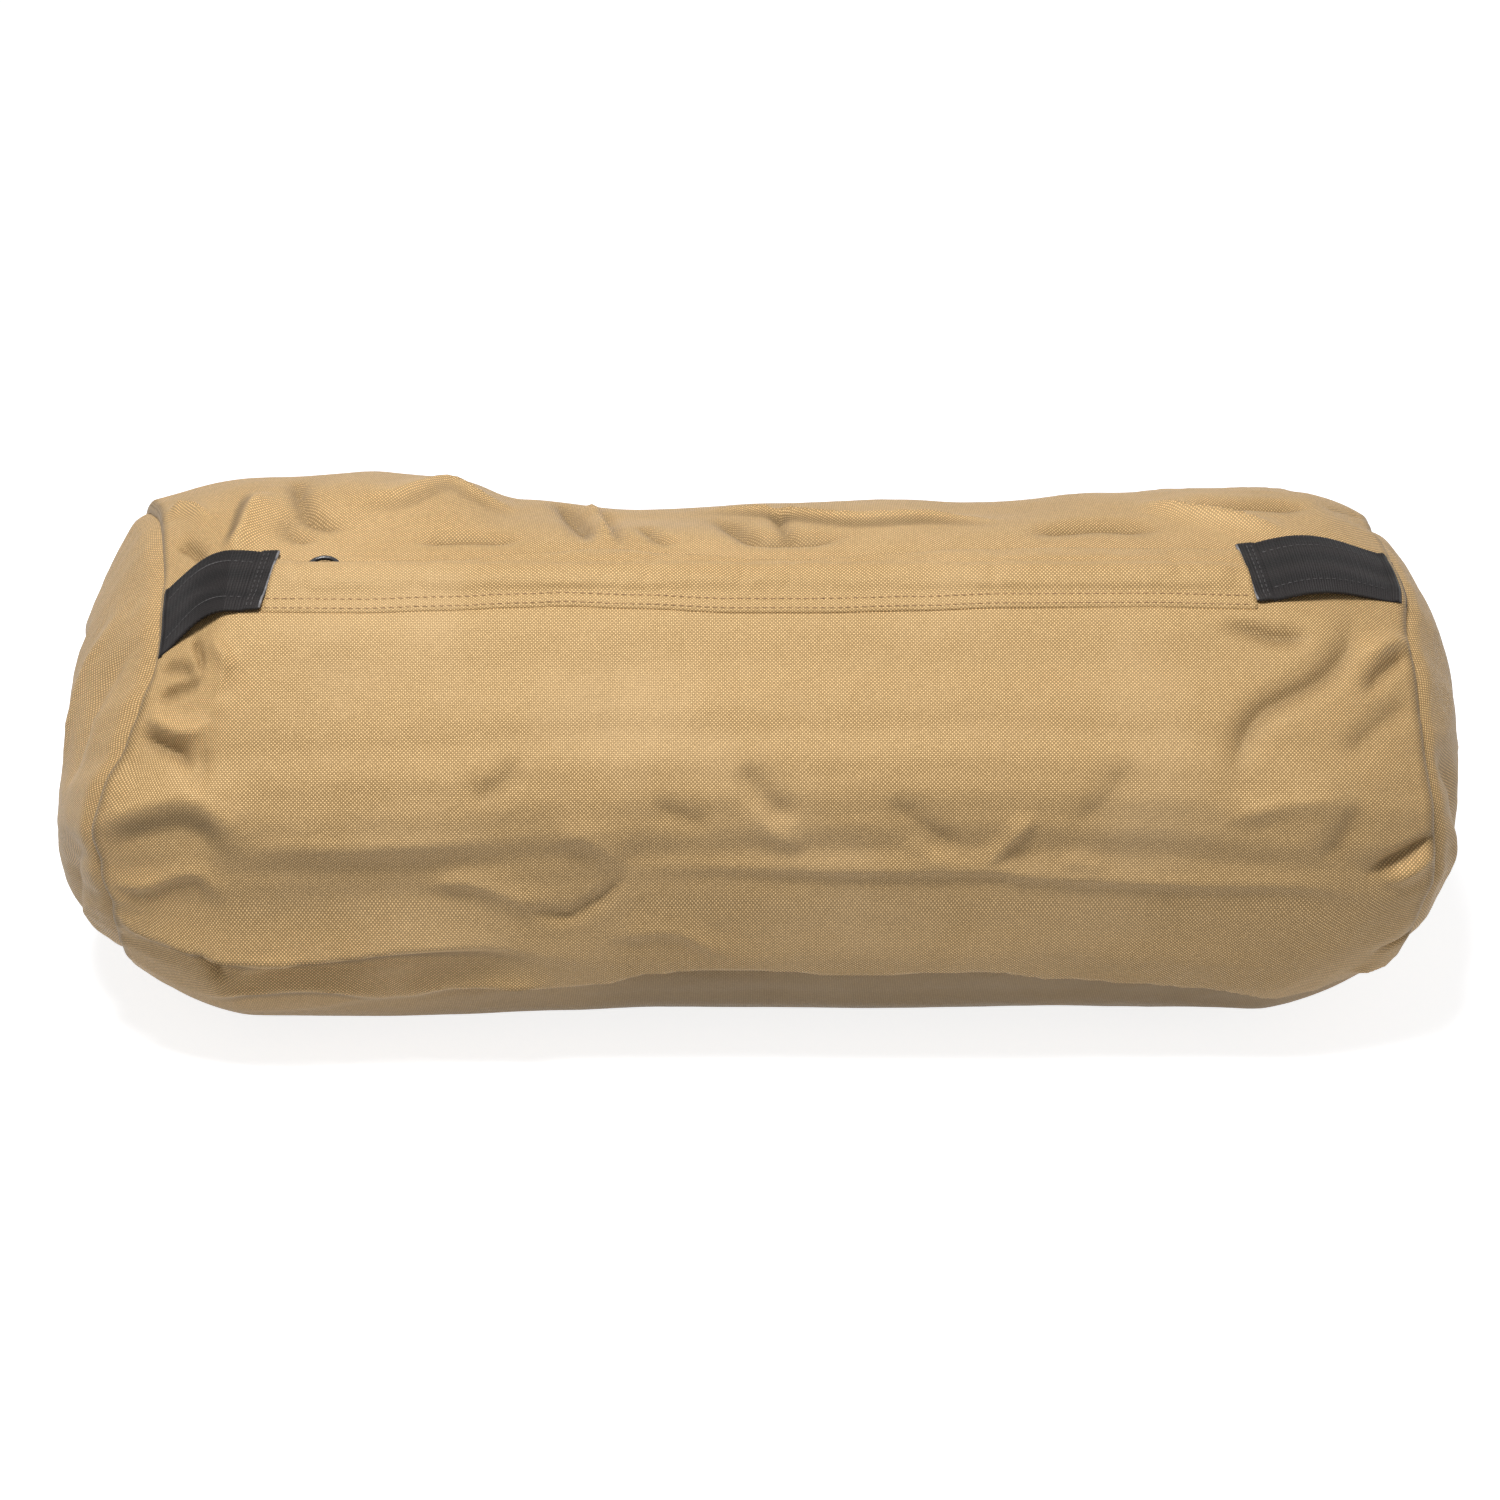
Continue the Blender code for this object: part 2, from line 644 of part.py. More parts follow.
def build_strip(name, side, start, collection):
    """One half of a filler's hook and loop closure, along the inside of its mouth."""
    near = start + FILLER_BODY_LENGTH + FILLER_NECK_LENGTH

    def place(i, j):
        y = STRIP_HALF_WIDTH * (2 * j - 1)
        return near + FILLER_LIP_LENGTH * i, y, BAG_AXIS_HEIGHT + side * SEWN_GAP / 2

    return sheet(name, 1, 1, place, STRIP_THICKNESS, side > 0, "zip", collection)


def build_all():
    clear_scene()
    parts = new_collection("sandbag_trainer")
    cutters = new_collection("cutters")
    build_shell(parts)
    build_cap("end_cap_left", -1, parts)
    build_cap("end_cap_right", 1, parts)
    build_binding("seam_binding_left", -1, parts)
    build_binding("seam_binding_right", 1, parts)
    build_tape("zip_tape_lower", -1, parts)
    build_tape("zip_tape_upper", 1, parts)
    build_coil("zip_coil_lower", -1, parts)
    build_coil("zip_coil_upper", 1, parts)
    build_stop("zip_stop_left", -1, parts)
    build_stop("zip_stop_right", 1, parts)
    build_slider(parts, cutters)
    build_pull(parts)
    build_flap_seam(parts)
    build_flap(parts)
    build_strap("grab_strap_left", -1, FLAP_HALF_LENGTH + LEFT_STRAP_GAP, parts)
    build_strap("grab_strap_right", 1, FLAP_HALF_LENGTH + RIGHT_STRAP_GAP, parts)
    for number in range(1, FILLER_COUNT + 1):
        start = (number - 1 - FILLER_COUNT / 2) * FILLER_SPACING
        build_pouch(number, start, parts)
        build_sand(number, start, parts)
        build_strip(f"filler_hook_strip_{number}", 1, start, parts)
        build_strip(f"filler_loop_strip_{number}", -1, start, parts)


build_all()
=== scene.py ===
import math

import bmesh
import bpy
import numpy as np
from mathutils import Matrix, Vector, noise
from mathutils.bvhtree import BVHTree


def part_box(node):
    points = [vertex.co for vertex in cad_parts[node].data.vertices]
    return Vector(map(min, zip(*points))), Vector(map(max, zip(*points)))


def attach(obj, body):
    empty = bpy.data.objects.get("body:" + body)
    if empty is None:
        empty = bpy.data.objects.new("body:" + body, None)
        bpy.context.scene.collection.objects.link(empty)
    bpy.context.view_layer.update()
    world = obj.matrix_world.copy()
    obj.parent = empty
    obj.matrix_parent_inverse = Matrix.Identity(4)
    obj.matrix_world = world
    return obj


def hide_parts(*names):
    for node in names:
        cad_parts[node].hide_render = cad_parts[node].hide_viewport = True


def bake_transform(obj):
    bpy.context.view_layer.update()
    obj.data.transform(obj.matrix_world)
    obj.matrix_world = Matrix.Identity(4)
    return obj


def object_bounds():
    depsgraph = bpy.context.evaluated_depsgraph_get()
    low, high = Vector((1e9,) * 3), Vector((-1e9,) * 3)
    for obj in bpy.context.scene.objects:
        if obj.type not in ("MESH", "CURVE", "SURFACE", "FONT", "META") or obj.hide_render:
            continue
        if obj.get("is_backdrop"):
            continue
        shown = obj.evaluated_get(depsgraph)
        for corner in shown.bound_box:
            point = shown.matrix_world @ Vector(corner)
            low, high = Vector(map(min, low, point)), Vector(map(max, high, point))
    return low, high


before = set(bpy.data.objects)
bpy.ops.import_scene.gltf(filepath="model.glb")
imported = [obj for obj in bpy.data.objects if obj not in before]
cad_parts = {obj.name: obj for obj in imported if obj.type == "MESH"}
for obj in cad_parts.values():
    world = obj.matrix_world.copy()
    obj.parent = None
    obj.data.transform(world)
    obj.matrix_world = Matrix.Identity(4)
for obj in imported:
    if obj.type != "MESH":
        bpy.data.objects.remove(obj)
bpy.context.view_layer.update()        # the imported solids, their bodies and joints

print("frame loaded:", len(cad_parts), "nodes")


# the filled bag, in metres: the same driving sizes as its solids
bag = {
    "halfLength": 0.340,
    "radius": 0.146,
    "axisHeight": 0.119,
    "sink": 0.006,
    "bellyPower": 2.5,
    "endBellyPower": 2.0,
    "roundLength": 0.072,
    "roundShares": {-1: 0.07, 1: 0.12},
    "leans": {-1: (0.036, 55), 1: (0.012, 75)},  # how far each seam leans in, and at which angle
    "floorLean": 0.020,
    "floorLeanPower": 1.5,
    # how far in (or out, where negative) each end seam strays, by degrees round the bag
    "wanders": {
        -1: (
            (-60, 0.0), (-20, 0.004), (-6, 0.002), (5, -0.008), (14, -0.0165), (24, -0.0150), (33, -0.0085),
            (42, -0.0045), (50, 0.0), (62, 0.001), (74, 0.005), (98, 0.007), (118, 0.001),
        ),
        1: (
            (-75, -0.012), (-40, -0.009), (-8, -0.0065), (0, -0.0095), (18, -0.0085), (30, -0.0065),
            (48, -0.0070), (60, -0.0060), (72, -0.0095), (85, -0.0055), (100, 0.0), (118, 0.0),
        ),
    },
    "wanderStart": 0.262,
    "endLiftShare": 0.2,
    "topHump": 0.009,
    "topDip": 0.012,
    # the top's humps (above 0) and dips along the bag, by shares of its half length
    "topLineShares": (
        (-1.0, 0.3), (-0.78, 0.7), (-0.62, 1.0), (-0.5, 0.6), (-0.37, -0.55), (-0.19, -1.0),
        (0.03, -0.65), (0.2, -0.45), (0.36, -0.65), (0.55, -0.2), (0.72, 0.05), (1.0, 0.1),
    ),
    "slackDegrees": (79, 100, 132, 168),
    "wall": 0.0012,
    "sewnGap": 0.0003,
    "floorGap": 0.0004,
}

# the zip's line, places given up the slope from its middle and out from the bag's axis
zipLine = {
    "angle": math.radians(68),
    "halfLength": 0.243,
    "radius": 0.1441,
    "slotHalfWidth": 0.009,
}


def smoothStep(value, start, end):
    share = min(max((value - start) / (end - start), 0.0), 1.0)
    return share * share * (3 - 2 * share)


def slackWindow(angle):
    rise, full, fall, end = (math.radians(d) for d in bag["slackDegrees"])
    return smoothStep(angle, rise, full) * (1 - smoothStep(angle, fall, end))


def endShare(x):
    return min(max(abs(x) - bag["halfLength"] + bag["roundLength"], 0.0) / bag["roundLength"], 1.0)


# a smooth run through a table of (place, value) pairs
def runAlong(points, place):
    if place <= points[0][0]:
        return points[0][1]
    for (start, low), (end, high) in zip(points, points[1:]):
        if place <= end:
            return low + (high - low) * smoothStep(place, start, end)
    return points[-1][1]


# an angle round the bag, from -90 degrees under it to 270 behind it
def turnedFrom(angle):
    return (angle + math.pi / 2) % (2 * math.pi) - math.pi / 2


def topSwell(x):
    level = runAlong(bag["topLineShares"], x / bag["halfLength"])
    return level * (bag["topHump"] if level > 0 else bag["topDip"])


def leaned(x, angle):
    side = -1 if x < 0 else 1
    wander = runAlong(bag["wanders"][side], math.degrees(angle))
    x -= side * wander * smoothStep(abs(x), bag["wanderStart"], bag["halfLength"])
    lean, middle = bag["leans"][side]
    under = bag["floorLean"] * max(-math.sin(angle), 0.0) ** bag["floorLeanPower"]
    inwards = lean * max(math.cos(angle - math.radians(middle)), 0.0) ** 2 + under
    return x - side * inwards * endShare(x)


def sectionRadius(x, angle):
    side = -1 if x < 0 else 1
    shrink = 1 - bag["roundShares"][side] * endShare(x) ** 2
    return bag["radius"] * shrink + topSwell(x) * slackWindow(angle)


# a place on the bag: nominal x, angle from the front (0) over the top (90 degrees), and a distance outwards
def bagPoint(x, angle, out=0.0):
    turned = turnedFrom(angle)
    radius = sectionRadius(x, turned) + out
    across, up = math.cos(turned), math.sin(turned)
    share = endShare(x)
    if up >= 0:
        return Vector((leaned(x, turned), -radius * across, bag["axisHeight"] + radius * up))
    depth = (bag["axisHeight"] + bag["sink"]) * (1 - bag["endLiftShare"] * share**2) + out
    belly = 2 / (bag["bellyPower"] + (bag["endBellyPower"] - bag["bellyPower"]) * share)
    y = -radius * math.copysign(abs(across) ** belly, across)
    z = max(bag["axisHeight"] - depth * abs(up) ** belly, bag["floorGap"])
    return Vector((leaned(x, turned), y, z))


# a place by the zip: x, distance up the slope, and height out of the zip's own surface
def zipPoint(x, slope, out):
    angle = zipLine["angle"] + slope / zipLine["radius"]
    radius = zipLine["radius"] + out
    return Vector((x, -radius * math.cos(angle), bag["axisHeight"] + radius * math.sin(angle)))


# the flat frame that the slider runs in
def zipFlatPoint(x, slope, out):
    across, up = math.cos(zipLine["angle"]), math.sin(zipLine["angle"])
    radius = zipLine["radius"] + out
    return Vector((x, -radius * across + slope * up, bag["axisHeight"] + radius * up + slope * across))


# node helpers


def newMaterial(name):
    material = bpy.data.materials.new(name)
    material.use_nodes = True
    nodes, links = material.node_tree.nodes, material.node_tree.links
    return material, nodes, links, nodes["Principled BSDF"]


def mathNode(nodes, links, operation, first, second=None):
    node = nodes.new("ShaderNodeMath")
    node.operation = operation
    for socket, value in zip(node.inputs, (first, second)):
        if value is None:
            continue
        if isinstance(value, (int, float)):
            socket.default_value = value
        else:
            links.new(value, socket)
    return node.outputs[0]


def timesNode(nodes, links, first, second):
    return mathNode(nodes, links, "MULTIPLY", first, second)


def mixColour(nodes, links, share, first, second, blend="MIX"):
    node = nodes.new("ShaderNodeMix")
    node.data_type = "RGBA"
    node.blend_type = blend
    for socket, value in ((node.inputs[0], share), (node.inputs[6], first), (node.inputs[7], second)):
        if isinstance(value, (int, float)):
            socket.default_value = value
        elif isinstance(value, tuple):
            socket.default_value = (*value, 1.0)
        else:
            links.new(value, socket)
    return node.outputs[2]


def noiseNode(nodes, links, vector, scale, detail=2.0, roughness=0.5):
    node = nodes.new("ShaderNodeTexNoise")
    node.inputs["Scale"].default_value = scale
    node.inputs["Detail"].default_value = detail
    node.inputs["Roughness"].default_value = roughness
    links.new(vector, node.inputs["Vector"])
    return node.outputs["Fac"]


def rangeNode(nodes, links, value, low, high, toLow=0.0, toHigh=1.0):
    node = nodes.new("ShaderNodeMapRange")
    links.new(value, node.inputs["Value"])
    for name, number in (("From Min", low), ("From Max", high), ("To Min", toLow), ("To Max", toHigh)):
        node.inputs[name].default_value = number
    return node.outputs[0]


def bumpNode(nodes, links, height, distance, strength=1.0, normal=None):
    node = nodes.new("ShaderNodeBump")
    node.inputs["Strength"].default_value = strength
    node.inputs["Distance"].default_value = distance
    links.new(height, node.inputs["Height"])
    if normal is not None:
        links.new(normal, node.inputs["Normal"])
    return node.outputs[0]


# one random value for each whole step of two running numbers
def cellNoise(nodes, links, along, around):
    cell = nodes.new("ShaderNodeCombineXYZ")
    for socket, value in zip(cell.inputs, (along, around)):
        links.new(mathNode(nodes, links, "FLOOR", value), socket)
    fleck = nodes.new("ShaderNodeTexWhiteNoise")
    fleck.noise_dimensions = "2D"
    links.new(cell.outputs[0], fleck.inputs["Vector"])
    return fleck.outputs["Value"]


# the cloth's UV map in metres, as its two running lengths
def clothRuns(nodes, links):
    uvMap = nodes.new("ShaderNodeUVMap")
    uvMap.uv_map = "cloth"
    split = nodes.new("ShaderNodeSeparateXYZ")
    links.new(uvMap.outputs[0], split.inputs[0])
    return split.outputs[0], split.outputs[1]


# plain weave on a UV map in metres: a little pillow for every crossing, over or under, with its own shade
def weaveNodes(nodes, links, pitch, pillowPower=0.55):
    along, around = (timesNode(nodes, links, run, 1 / pitch) for run in clothRuns(nodes, links))
    waveA = mathNode(nodes, links, "SINE", timesNode(nodes, links, along, math.pi))
    waveB = mathNode(nodes, links, "SINE", timesNode(nodes, links, around, math.pi))
    crossing = timesNode(nodes, links, waveA, waveB)
    pillow = mathNode(nodes, links, "POWER", mathNode(nodes, links, "ABSOLUTE", crossing), pillowPower)
    over = mathNode(nodes, links, "GREATER_THAN", crossing, 0.0)
    return pillow, cellNoise(nodes, links, along, around), over, along, around


nylon = {
    "pitch": 0.00094,
    "light": (0.97, 0.650, 0.312),
    "dark": (0.24, 0.145, 0.055),
    "faded": (0.74, 0.52, 0.29),
    "dusty": (0.50, 0.325, 0.160),
    "underShade": 0.18,  # how much of its light a thread keeps where it dives under
    "fleckShades": (0.80, 1.18),
    "slubLength": 3.5,  # in threads
    "slubShades": (0.92, 1.09),
    "fadedAmount": 0.28,
    "dustAmount": 0.25,
    "cloudScale": 9.0,
    "mottleScale": 60.0,
    "crumpleScale": 120.0,
    "crumpleDepth": 0.0012,
    "roughness": (0.64, 0.46),  # in the gaps and on the threads
    "paintedCreaseShade": 0.34,  # painted shade: how much darker a deep crease is drawn
    "paintedCrestHighlight": 0.07,  # painted highlight: how much lighter a crest is drawn
    # painted shade: how dark the cloth is drawn under the belly's turn
    "bellyShadeLevel": 0.52,
    "sheen": 0.03,
    "specular": 0.55,
    "specularTint": (1.0, 0.80, 0.52),
    "weaveDepth": 0.00030,
}


def makeNylon(name):
    material, nodes, links, shader = newMaterial(name)
    pillow, fleck, over, along, around = weaveNodes(nodes, links, nylon["pitch"])
    stretch = 1 / nylon["slubLength"]
    warp = cellNoise(nodes, links, timesNode(nodes, links, along, stretch), around)
    weft = cellNoise(nodes, links, along, timesNode(nodes, links, around, stretch))
    slub = mixColour(nodes, links, over, warp, weft)
    place = nodes.new("ShaderNodeTexCoord").outputs["Object"]
    cloudy = noiseNode(nodes, links, place, nylon["cloudScale"], 3.0, 0.55)
    mottle = noiseNode(nodes, links, place, nylon["mottleScale"], 3.0, 0.6)
    lift = timesNode(nodes, links, pillow, rangeNode(nodes, links, over, 0, 1, nylon["underShade"], 1))
    lift = timesNode(nodes, links, lift, rangeNode(nodes, links, fleck, 0, 1, *nylon["fleckShades"]))
    lift = timesNode(nodes, links, lift, rangeNode(nodes, links, slub, 0, 1, *nylon["slubShades"]))
    thread = mixColour(nodes, links, lift, nylon["dark"], nylon["light"])
    fade = rangeNode(nodes, links, cloudy, 0.50, 0.78, 0.0, nylon["fadedAmount"])
    thread = mixColour(nodes, links, fade, thread, nylon["faded"])
    dust = rangeNode(nodes, links, mottle, 0.52, 0.8, 0.0, nylon["dustAmount"])
    thread = mixColour(nodes, links, dust, thread, nylon["dusty"])
    # painted shade in creases, along the seams and below laps, and a painted highlight on crests, from a
    # mesh attribute
    foldShading, bellyShade = nodes.new("ShaderNodeAttribute"), nodes.new("ShaderNodeAttribute")
    foldShading.attribute_name, bellyShade.attribute_name = "foldShading", "bellyShade"
    creaseShading = mathNode(nodes, links, "MINIMUM", foldShading.outputs["Fac"], 0.0)
    crestHighlight = mathNode(nodes, links, "MAXIMUM", foldShading.outputs["Fac"], 0.0)
    tone = mathNode(nodes, links, "ADD", 1.0, timesNode(nodes, links, creaseShading, nylon["paintedCreaseShade"]))
    tone = mathNode(nodes, links, "ADD", tone, timesNode(nodes, links, crestHighlight, nylon["paintedCrestHighlight"]))
    # painted shade under the belly's turn, near the floor
    kept = rangeNode(nodes, links, bellyShade.outputs["Fac"], 0.0, 1.0, 1.0, nylon["bellyShadeLevel"])
    tone = timesNode(nodes, links, tone, kept)
    links.new(mixColour(nodes, links, 1.0, thread, tone, "MULTIPLY"), shader.inputs["Base Color"])
    links.new(rangeNode(nodes, links, pillow, 0.0, 1.0, *nylon["roughness"]), shader.inputs["Roughness"])
    shader.inputs["Sheen Weight"].default_value = nylon["sheen"]
    shader.inputs["Sheen Roughness"].default_value = 0.45
    shader.inputs["Specular IOR Level"].default_value = nylon["specular"]
    shader.inputs["Specular Tint"].default_value = (*nylon["specularTint"], 1)
    fine = bumpNode(nodes, links, lift, nylon["weaveDepth"], 0.8)
    crumple = noiseNode(nodes, links, place, nylon["crumpleScale"], 4.0, 0.6)
    links.new(bumpNode(nodes, links, crumple, nylon["crumpleDepth"], 0.4, fine), shader.inputs["Normal"])
    return material


webbing = {
    "ribPitch": 0.00145,
    "cordPitch": 0.0011,
    "bandPitch": 0.0133,
    "bandShade": 0.22,
    "fuzzScale": 420.0,
    "dark": (0.0035, 0.0028, 0.0028),
    "light": (0.024, 0.0195, 0.0190),
    "roughness": (0.50, 0.72),
    "sheen": 0.02,
    "specular": 0.26,
    "ribDepth": 0.00030,
}


def makeWebbing(name):
    material, nodes, links, shader = newMaterial(name)
    along, across = clothRuns(nodes, links)

    def wave(value, pitch):
        return mathNode(nodes, links, "SINE", timesNode(nodes, links, value, 2 * math.pi / pitch))

    ribHeight = rangeNode(nodes, links, wave(along, webbing["ribPitch"]), -1.0, 1.0)
    cordHeight = rangeNode(nodes, links, wave(across, webbing["cordPitch"]), -1.0, 1.0)
    bandWave = wave(across, webbing["bandPitch"])
    height = mathNode(nodes, links, "ADD", ribHeight, timesNode(nodes, links, cordHeight, 0.5))
    place = nodes.new("ShaderNodeTexCoord").outputs["Object"]
    fuzz = noiseNode(nodes, links, place, webbing["fuzzScale"], 2.0, 0.6)
    share = timesNode(nodes, links, height, rangeNode(nodes, links, fuzz, 0.3, 0.7, 0.35, 0.75))
    band = webbing["bandShade"]
    share = mathNode(nodes, links, "ADD", share, rangeNode(nodes, links, bandWave, -1.0, 1.0, -band, band))
    colour = mixColour(nodes, links, share, webbing["dark"], webbing["light"])
    links.new(colour, shader.inputs["Base Color"])
    links.new(rangeNode(nodes, links, fuzz, 0.2, 0.8, *webbing["roughness"]), shader.inputs["Roughness"])
    shader.inputs["Sheen Weight"].default_value = webbing["sheen"]
    shader.inputs["Specular IOR Level"].default_value = webbing["specular"]
    links.new(bumpNode(nodes, links, height, webbing["ribDepth"], 0.9), shader.inputs["Normal"])
    return material


# thread, coil, metal, coated and sandy finishes share one recipe: two colours by a noise, and a grain
def makeGrain(name, dark, light, scale, roughness, grain, sheen=0.0):
    material, nodes, links, shader = newMaterial(name)
    place = nodes.new("ShaderNodeTexCoord").outputs["Object"]
    share = noiseNode(nodes, links, place, scale, 3.0, 0.6)
    stretched = rangeNode(nodes, links, share, 0.32, 0.68)
    links.new(mixColour(nodes, links, stretched, dark, light), shader.inputs["Base Color"])
    links.new(rangeNode(nodes, links, share, 0.3, 0.7, *roughness), shader.inputs["Roughness"])
    shader.inputs["Sheen Weight"].default_value = sheen
    fine = noiseNode(nodes, links, place, scale * 4, 2.0, 0.6)
    links.new(bumpNode(nodes, links, fine, grain, 0.8), shader.inputs["Normal"])
    return material


def makeWoven(name, dark, light, pitch, roughness, depth=0.0001, sheen=0.1):
    material, nodes, links, shader = newMaterial(name)
    pillow, yarn = weaveNodes(nodes, links, pitch)[:2]
    place = nodes.new("ShaderNodeTexCoord").outputs["Object"]
    worn = noiseNode(nodes, links, place, 35.0, 3.0, 0.6)
    share = timesNode(nodes, links, pillow, rangeNode(nodes, links, worn, 0.3, 0.7, 0.7, 1.0))
    share = timesNode(nodes, links, share, rangeNode(nodes, links, yarn, 0.0, 1.0, 0.8, 1.0))
    links.new(mixColour(nodes, links, share, dark, light), shader.inputs["Base Color"])
    links.new(rangeNode(nodes, links, worn, 0.2, 0.8, *roughness), shader.inputs["Roughness"])
    shader.inputs["Sheen Weight"].default_value = sheen
    links.new(bumpNode(nodes, links, pillow, depth, 0.8), shader.inputs["Normal"])
    return material


bagNylon = makeNylon("coyote nylon")
strapWebbing = makeWebbing("black webbing")
# a tan thread drawn darker brown, partly painted shade for its stitch holes
tanThread = makeGrain("tan thread", (0.20, 0.11, 0.046), (0.42, 0.26, 0.12), 900, (0.6, 0.8), 0.00008)
greyThread = makeGrain("grey thread", (0.05, 0.05, 0.055), (0.20, 0.20, 0.21), 900, (0.5, 0.7), 0.00008)
blackThread = makeGrain("black thread", (0.012, 0.010, 0.010), (0.055, 0.048, 0.048), 900, (0.4, 0.6),
                        0.00008)
# painted highlight: the sealed edge is drawn light grey where its gloss catches the light
sealedEdgeHighlight = makeGrain("sealed webbing edge with painted highlight", (0.07, 0.068, 0.072), (0.30, 0.29, 0.30), 260, (0.25, 0.45),
                       0.00008)
loopCoat = makeGrain("glossy black coat", (0.006, 0.006, 0.007), (0.022, 0.021, 0.022), 240, (0.14, 0.30),
                     0.00005)
sliderPaint = makeGrain("black zip enamel", (0.008, 0.008, 0.009), (0.03, 0.03, 0.032), 500, (0.22, 0.4),
                        0.00003)
coilNylon = makeGrain("black coil", (0.010, 0.010, 0.011), (0.035, 0.034, 0.036), 700, (0.3, 0.5), 0.00003)
zipTape = makeWoven("zip tape", (0.008, 0.008, 0.009), (0.05, 0.049, 0.052), 0.0006, (0.6, 0.8))
bindingTape = makeWoven("binding tape", (0.16, 0.10, 0.05), (0.44, 0.31, 0.17), 0.0008, (0.7, 0.9))
pouchNylon = makeWoven("pouch nylon", (0.012, 0.012, 0.013), (0.07, 0.069, 0.074), 0.0008, (0.5, 0.75))
stripPile = makeGrain("closure pile", (0.010, 0.010, 0.010), (0.07, 0.068, 0.07), 1500, (0.8, 0.95), 0.0004,
                      sheen=0.3)
drySand = makeGrain("dry sand", (0.34, 0.24, 0.13), (0.74, 0.60, 0.40), 1300, (0.85, 1.0), 0.0006)
print("finishes made")


# mesh helpers


# a grid on two running shares: flat(s, t) gives its UV in metres, and place(s, t) its corner's place
def clothGrid(columns, rows, place, flat, keep=None):
    bm = bmesh.new()
    uvLayer = bm.loops.layers.uv.new("cloth")
    bmesh.ops.create_grid(bm, x_segments=columns, y_segments=rows, size=1)
    shares = {v: ((v.co.x + 1) / 2, (v.co.y + 1) / 2) for v in bm.verts}
    for face in bm.faces:
        face.smooth = True
        for loop in face.loops:
            loop[uvLayer].uv = flat(*shares[loop.vert])
    if keep:
        spare = [f for f in bm.faces if not keep(*(sum(shares[v][k] for v in f.verts) / 4 for k in (0, 1)))]
        bmesh.ops.delete(bm, geom=spare, context="FACES")
    for vertex in bm.verts:
        vertex.co = place(*shares[vertex])
    return bm


def pieceFrom(bm, name, material):
    mesh = bpy.data.meshes.new(name)
    bm.to_mesh(mesh)
    bm.free()
    mesh.materials.append(material)
    piece = bpy.data.objects.new(name, mesh)
    bpy.context.scene.collection.objects.link(piece)
    return piece


def bakeModifiers(piece):
    graph = bpy.context.evaluated_depsgraph_get()
    graph.update()
    made = piece.evaluated_get(graph)
    mesh = bpy.data.meshes.new_from_object(made, preserve_all_data_layers=True, depsgraph=graph)
    old = piece.data
    piece.modifiers.clear()
    piece.data = mesh
    bpy.data.meshes.remove(old)
    return piece


def addThickness(piece, thickness, offset):
    solid = piece.modifiers.new("Thickness", "SOLIDIFY")
    solid.thickness = thickness
    solid.offset = offset
    solid.use_even_offset = True
    return bakeModifiers(piece)


def addSmoothing(piece, levels=1):
    smooth = piece.modifiers.new("Smoothing", "SUBSURF")
    smooth.levels = levels
    smooth.render_levels = levels
    return bakeModifiers(piece)


def meshCoords(mesh):
    coords = np.empty(len(mesh.vertices) * 3)
    mesh.vertices.foreach_get("co", coords)
    return coords.reshape(-1, 3)


def setCoords(mesh, coords):
    mesh.vertices.foreach_set("co", coords.ravel())
    mesh.update()


def floatValues(mesh, name):
    values = np.empty(len(mesh.vertices))
    mesh.attributes[name].data.foreach_get("value", values)
    return values


weldDistance = 0.00002


# joins the ends of a rolled grid, and points its faces outwards
def closeSeams(bm):
    bmesh.ops.remove_doubles(bm, verts=bm.verts, dist=weldDistance)
    bmesh.ops.recalc_face_normals(bm, faces=bm.faces)


# a row of sewn stitches: each is a short rounded thread that dips into the cloth at both ends
def stitchRow(bm, places, radius, length):
    for middle, forward, outward in places:
        side = outward.cross(forward).normalized()
        turn = Matrix((side, outward, forward)).transposed().to_4x4()
        made = bmesh.ops.create_uvsphere(bm, u_segments=6, v_segments=4, radius=1)["verts"]
        bmesh.ops.scale(bm, verts=made, vec=(radius, radius * 0.8, length / 2))
        for vertex in made:
            vertex.co = turn @ vertex.co
        bmesh.ops.translate(bm, verts=made, vec=middle)


# a bevelled curve made a smooth mesh
def meshFromCurve(name, curve, material):
    piece = bpy.data.objects.new(name, curve)
    bpy.context.scene.collection.objects.link(piece)
    graph = bpy.context.evaluated_depsgraph_get()
    mesh = bpy.data.meshes.new_from_object(piece.evaluated_get(graph))
    bpy.data.objects.remove(piece)
    mesh.materials.clear()
    mesh.materials.append(material)
    mesh.shade_smooth()
    piece = bpy.data.objects.new(name, mesh)
    bpy.context.scene.collection.objects.link(piece)
    return piece


# turns an open cloth over where it faces down
def faceUp(piece):
    if sum(f.normal.z * f.area for f in piece.data.polygons) < 0:
        piece.data.flip_normals()
    return piece


# straight out of the bag at a place on it
def outwardAt(spot):
    return (spot - Vector((spot.x, 0, bag["axisHeight"]))).normalized()


print("helpers ready")


# folds of the filled bag, as lines of (x, degrees) with their height and half width
def fold(kind, height, width, *line):
    return {"kind": kind, "height": -height if kind == "crease" else height, "width": width, "line": line}


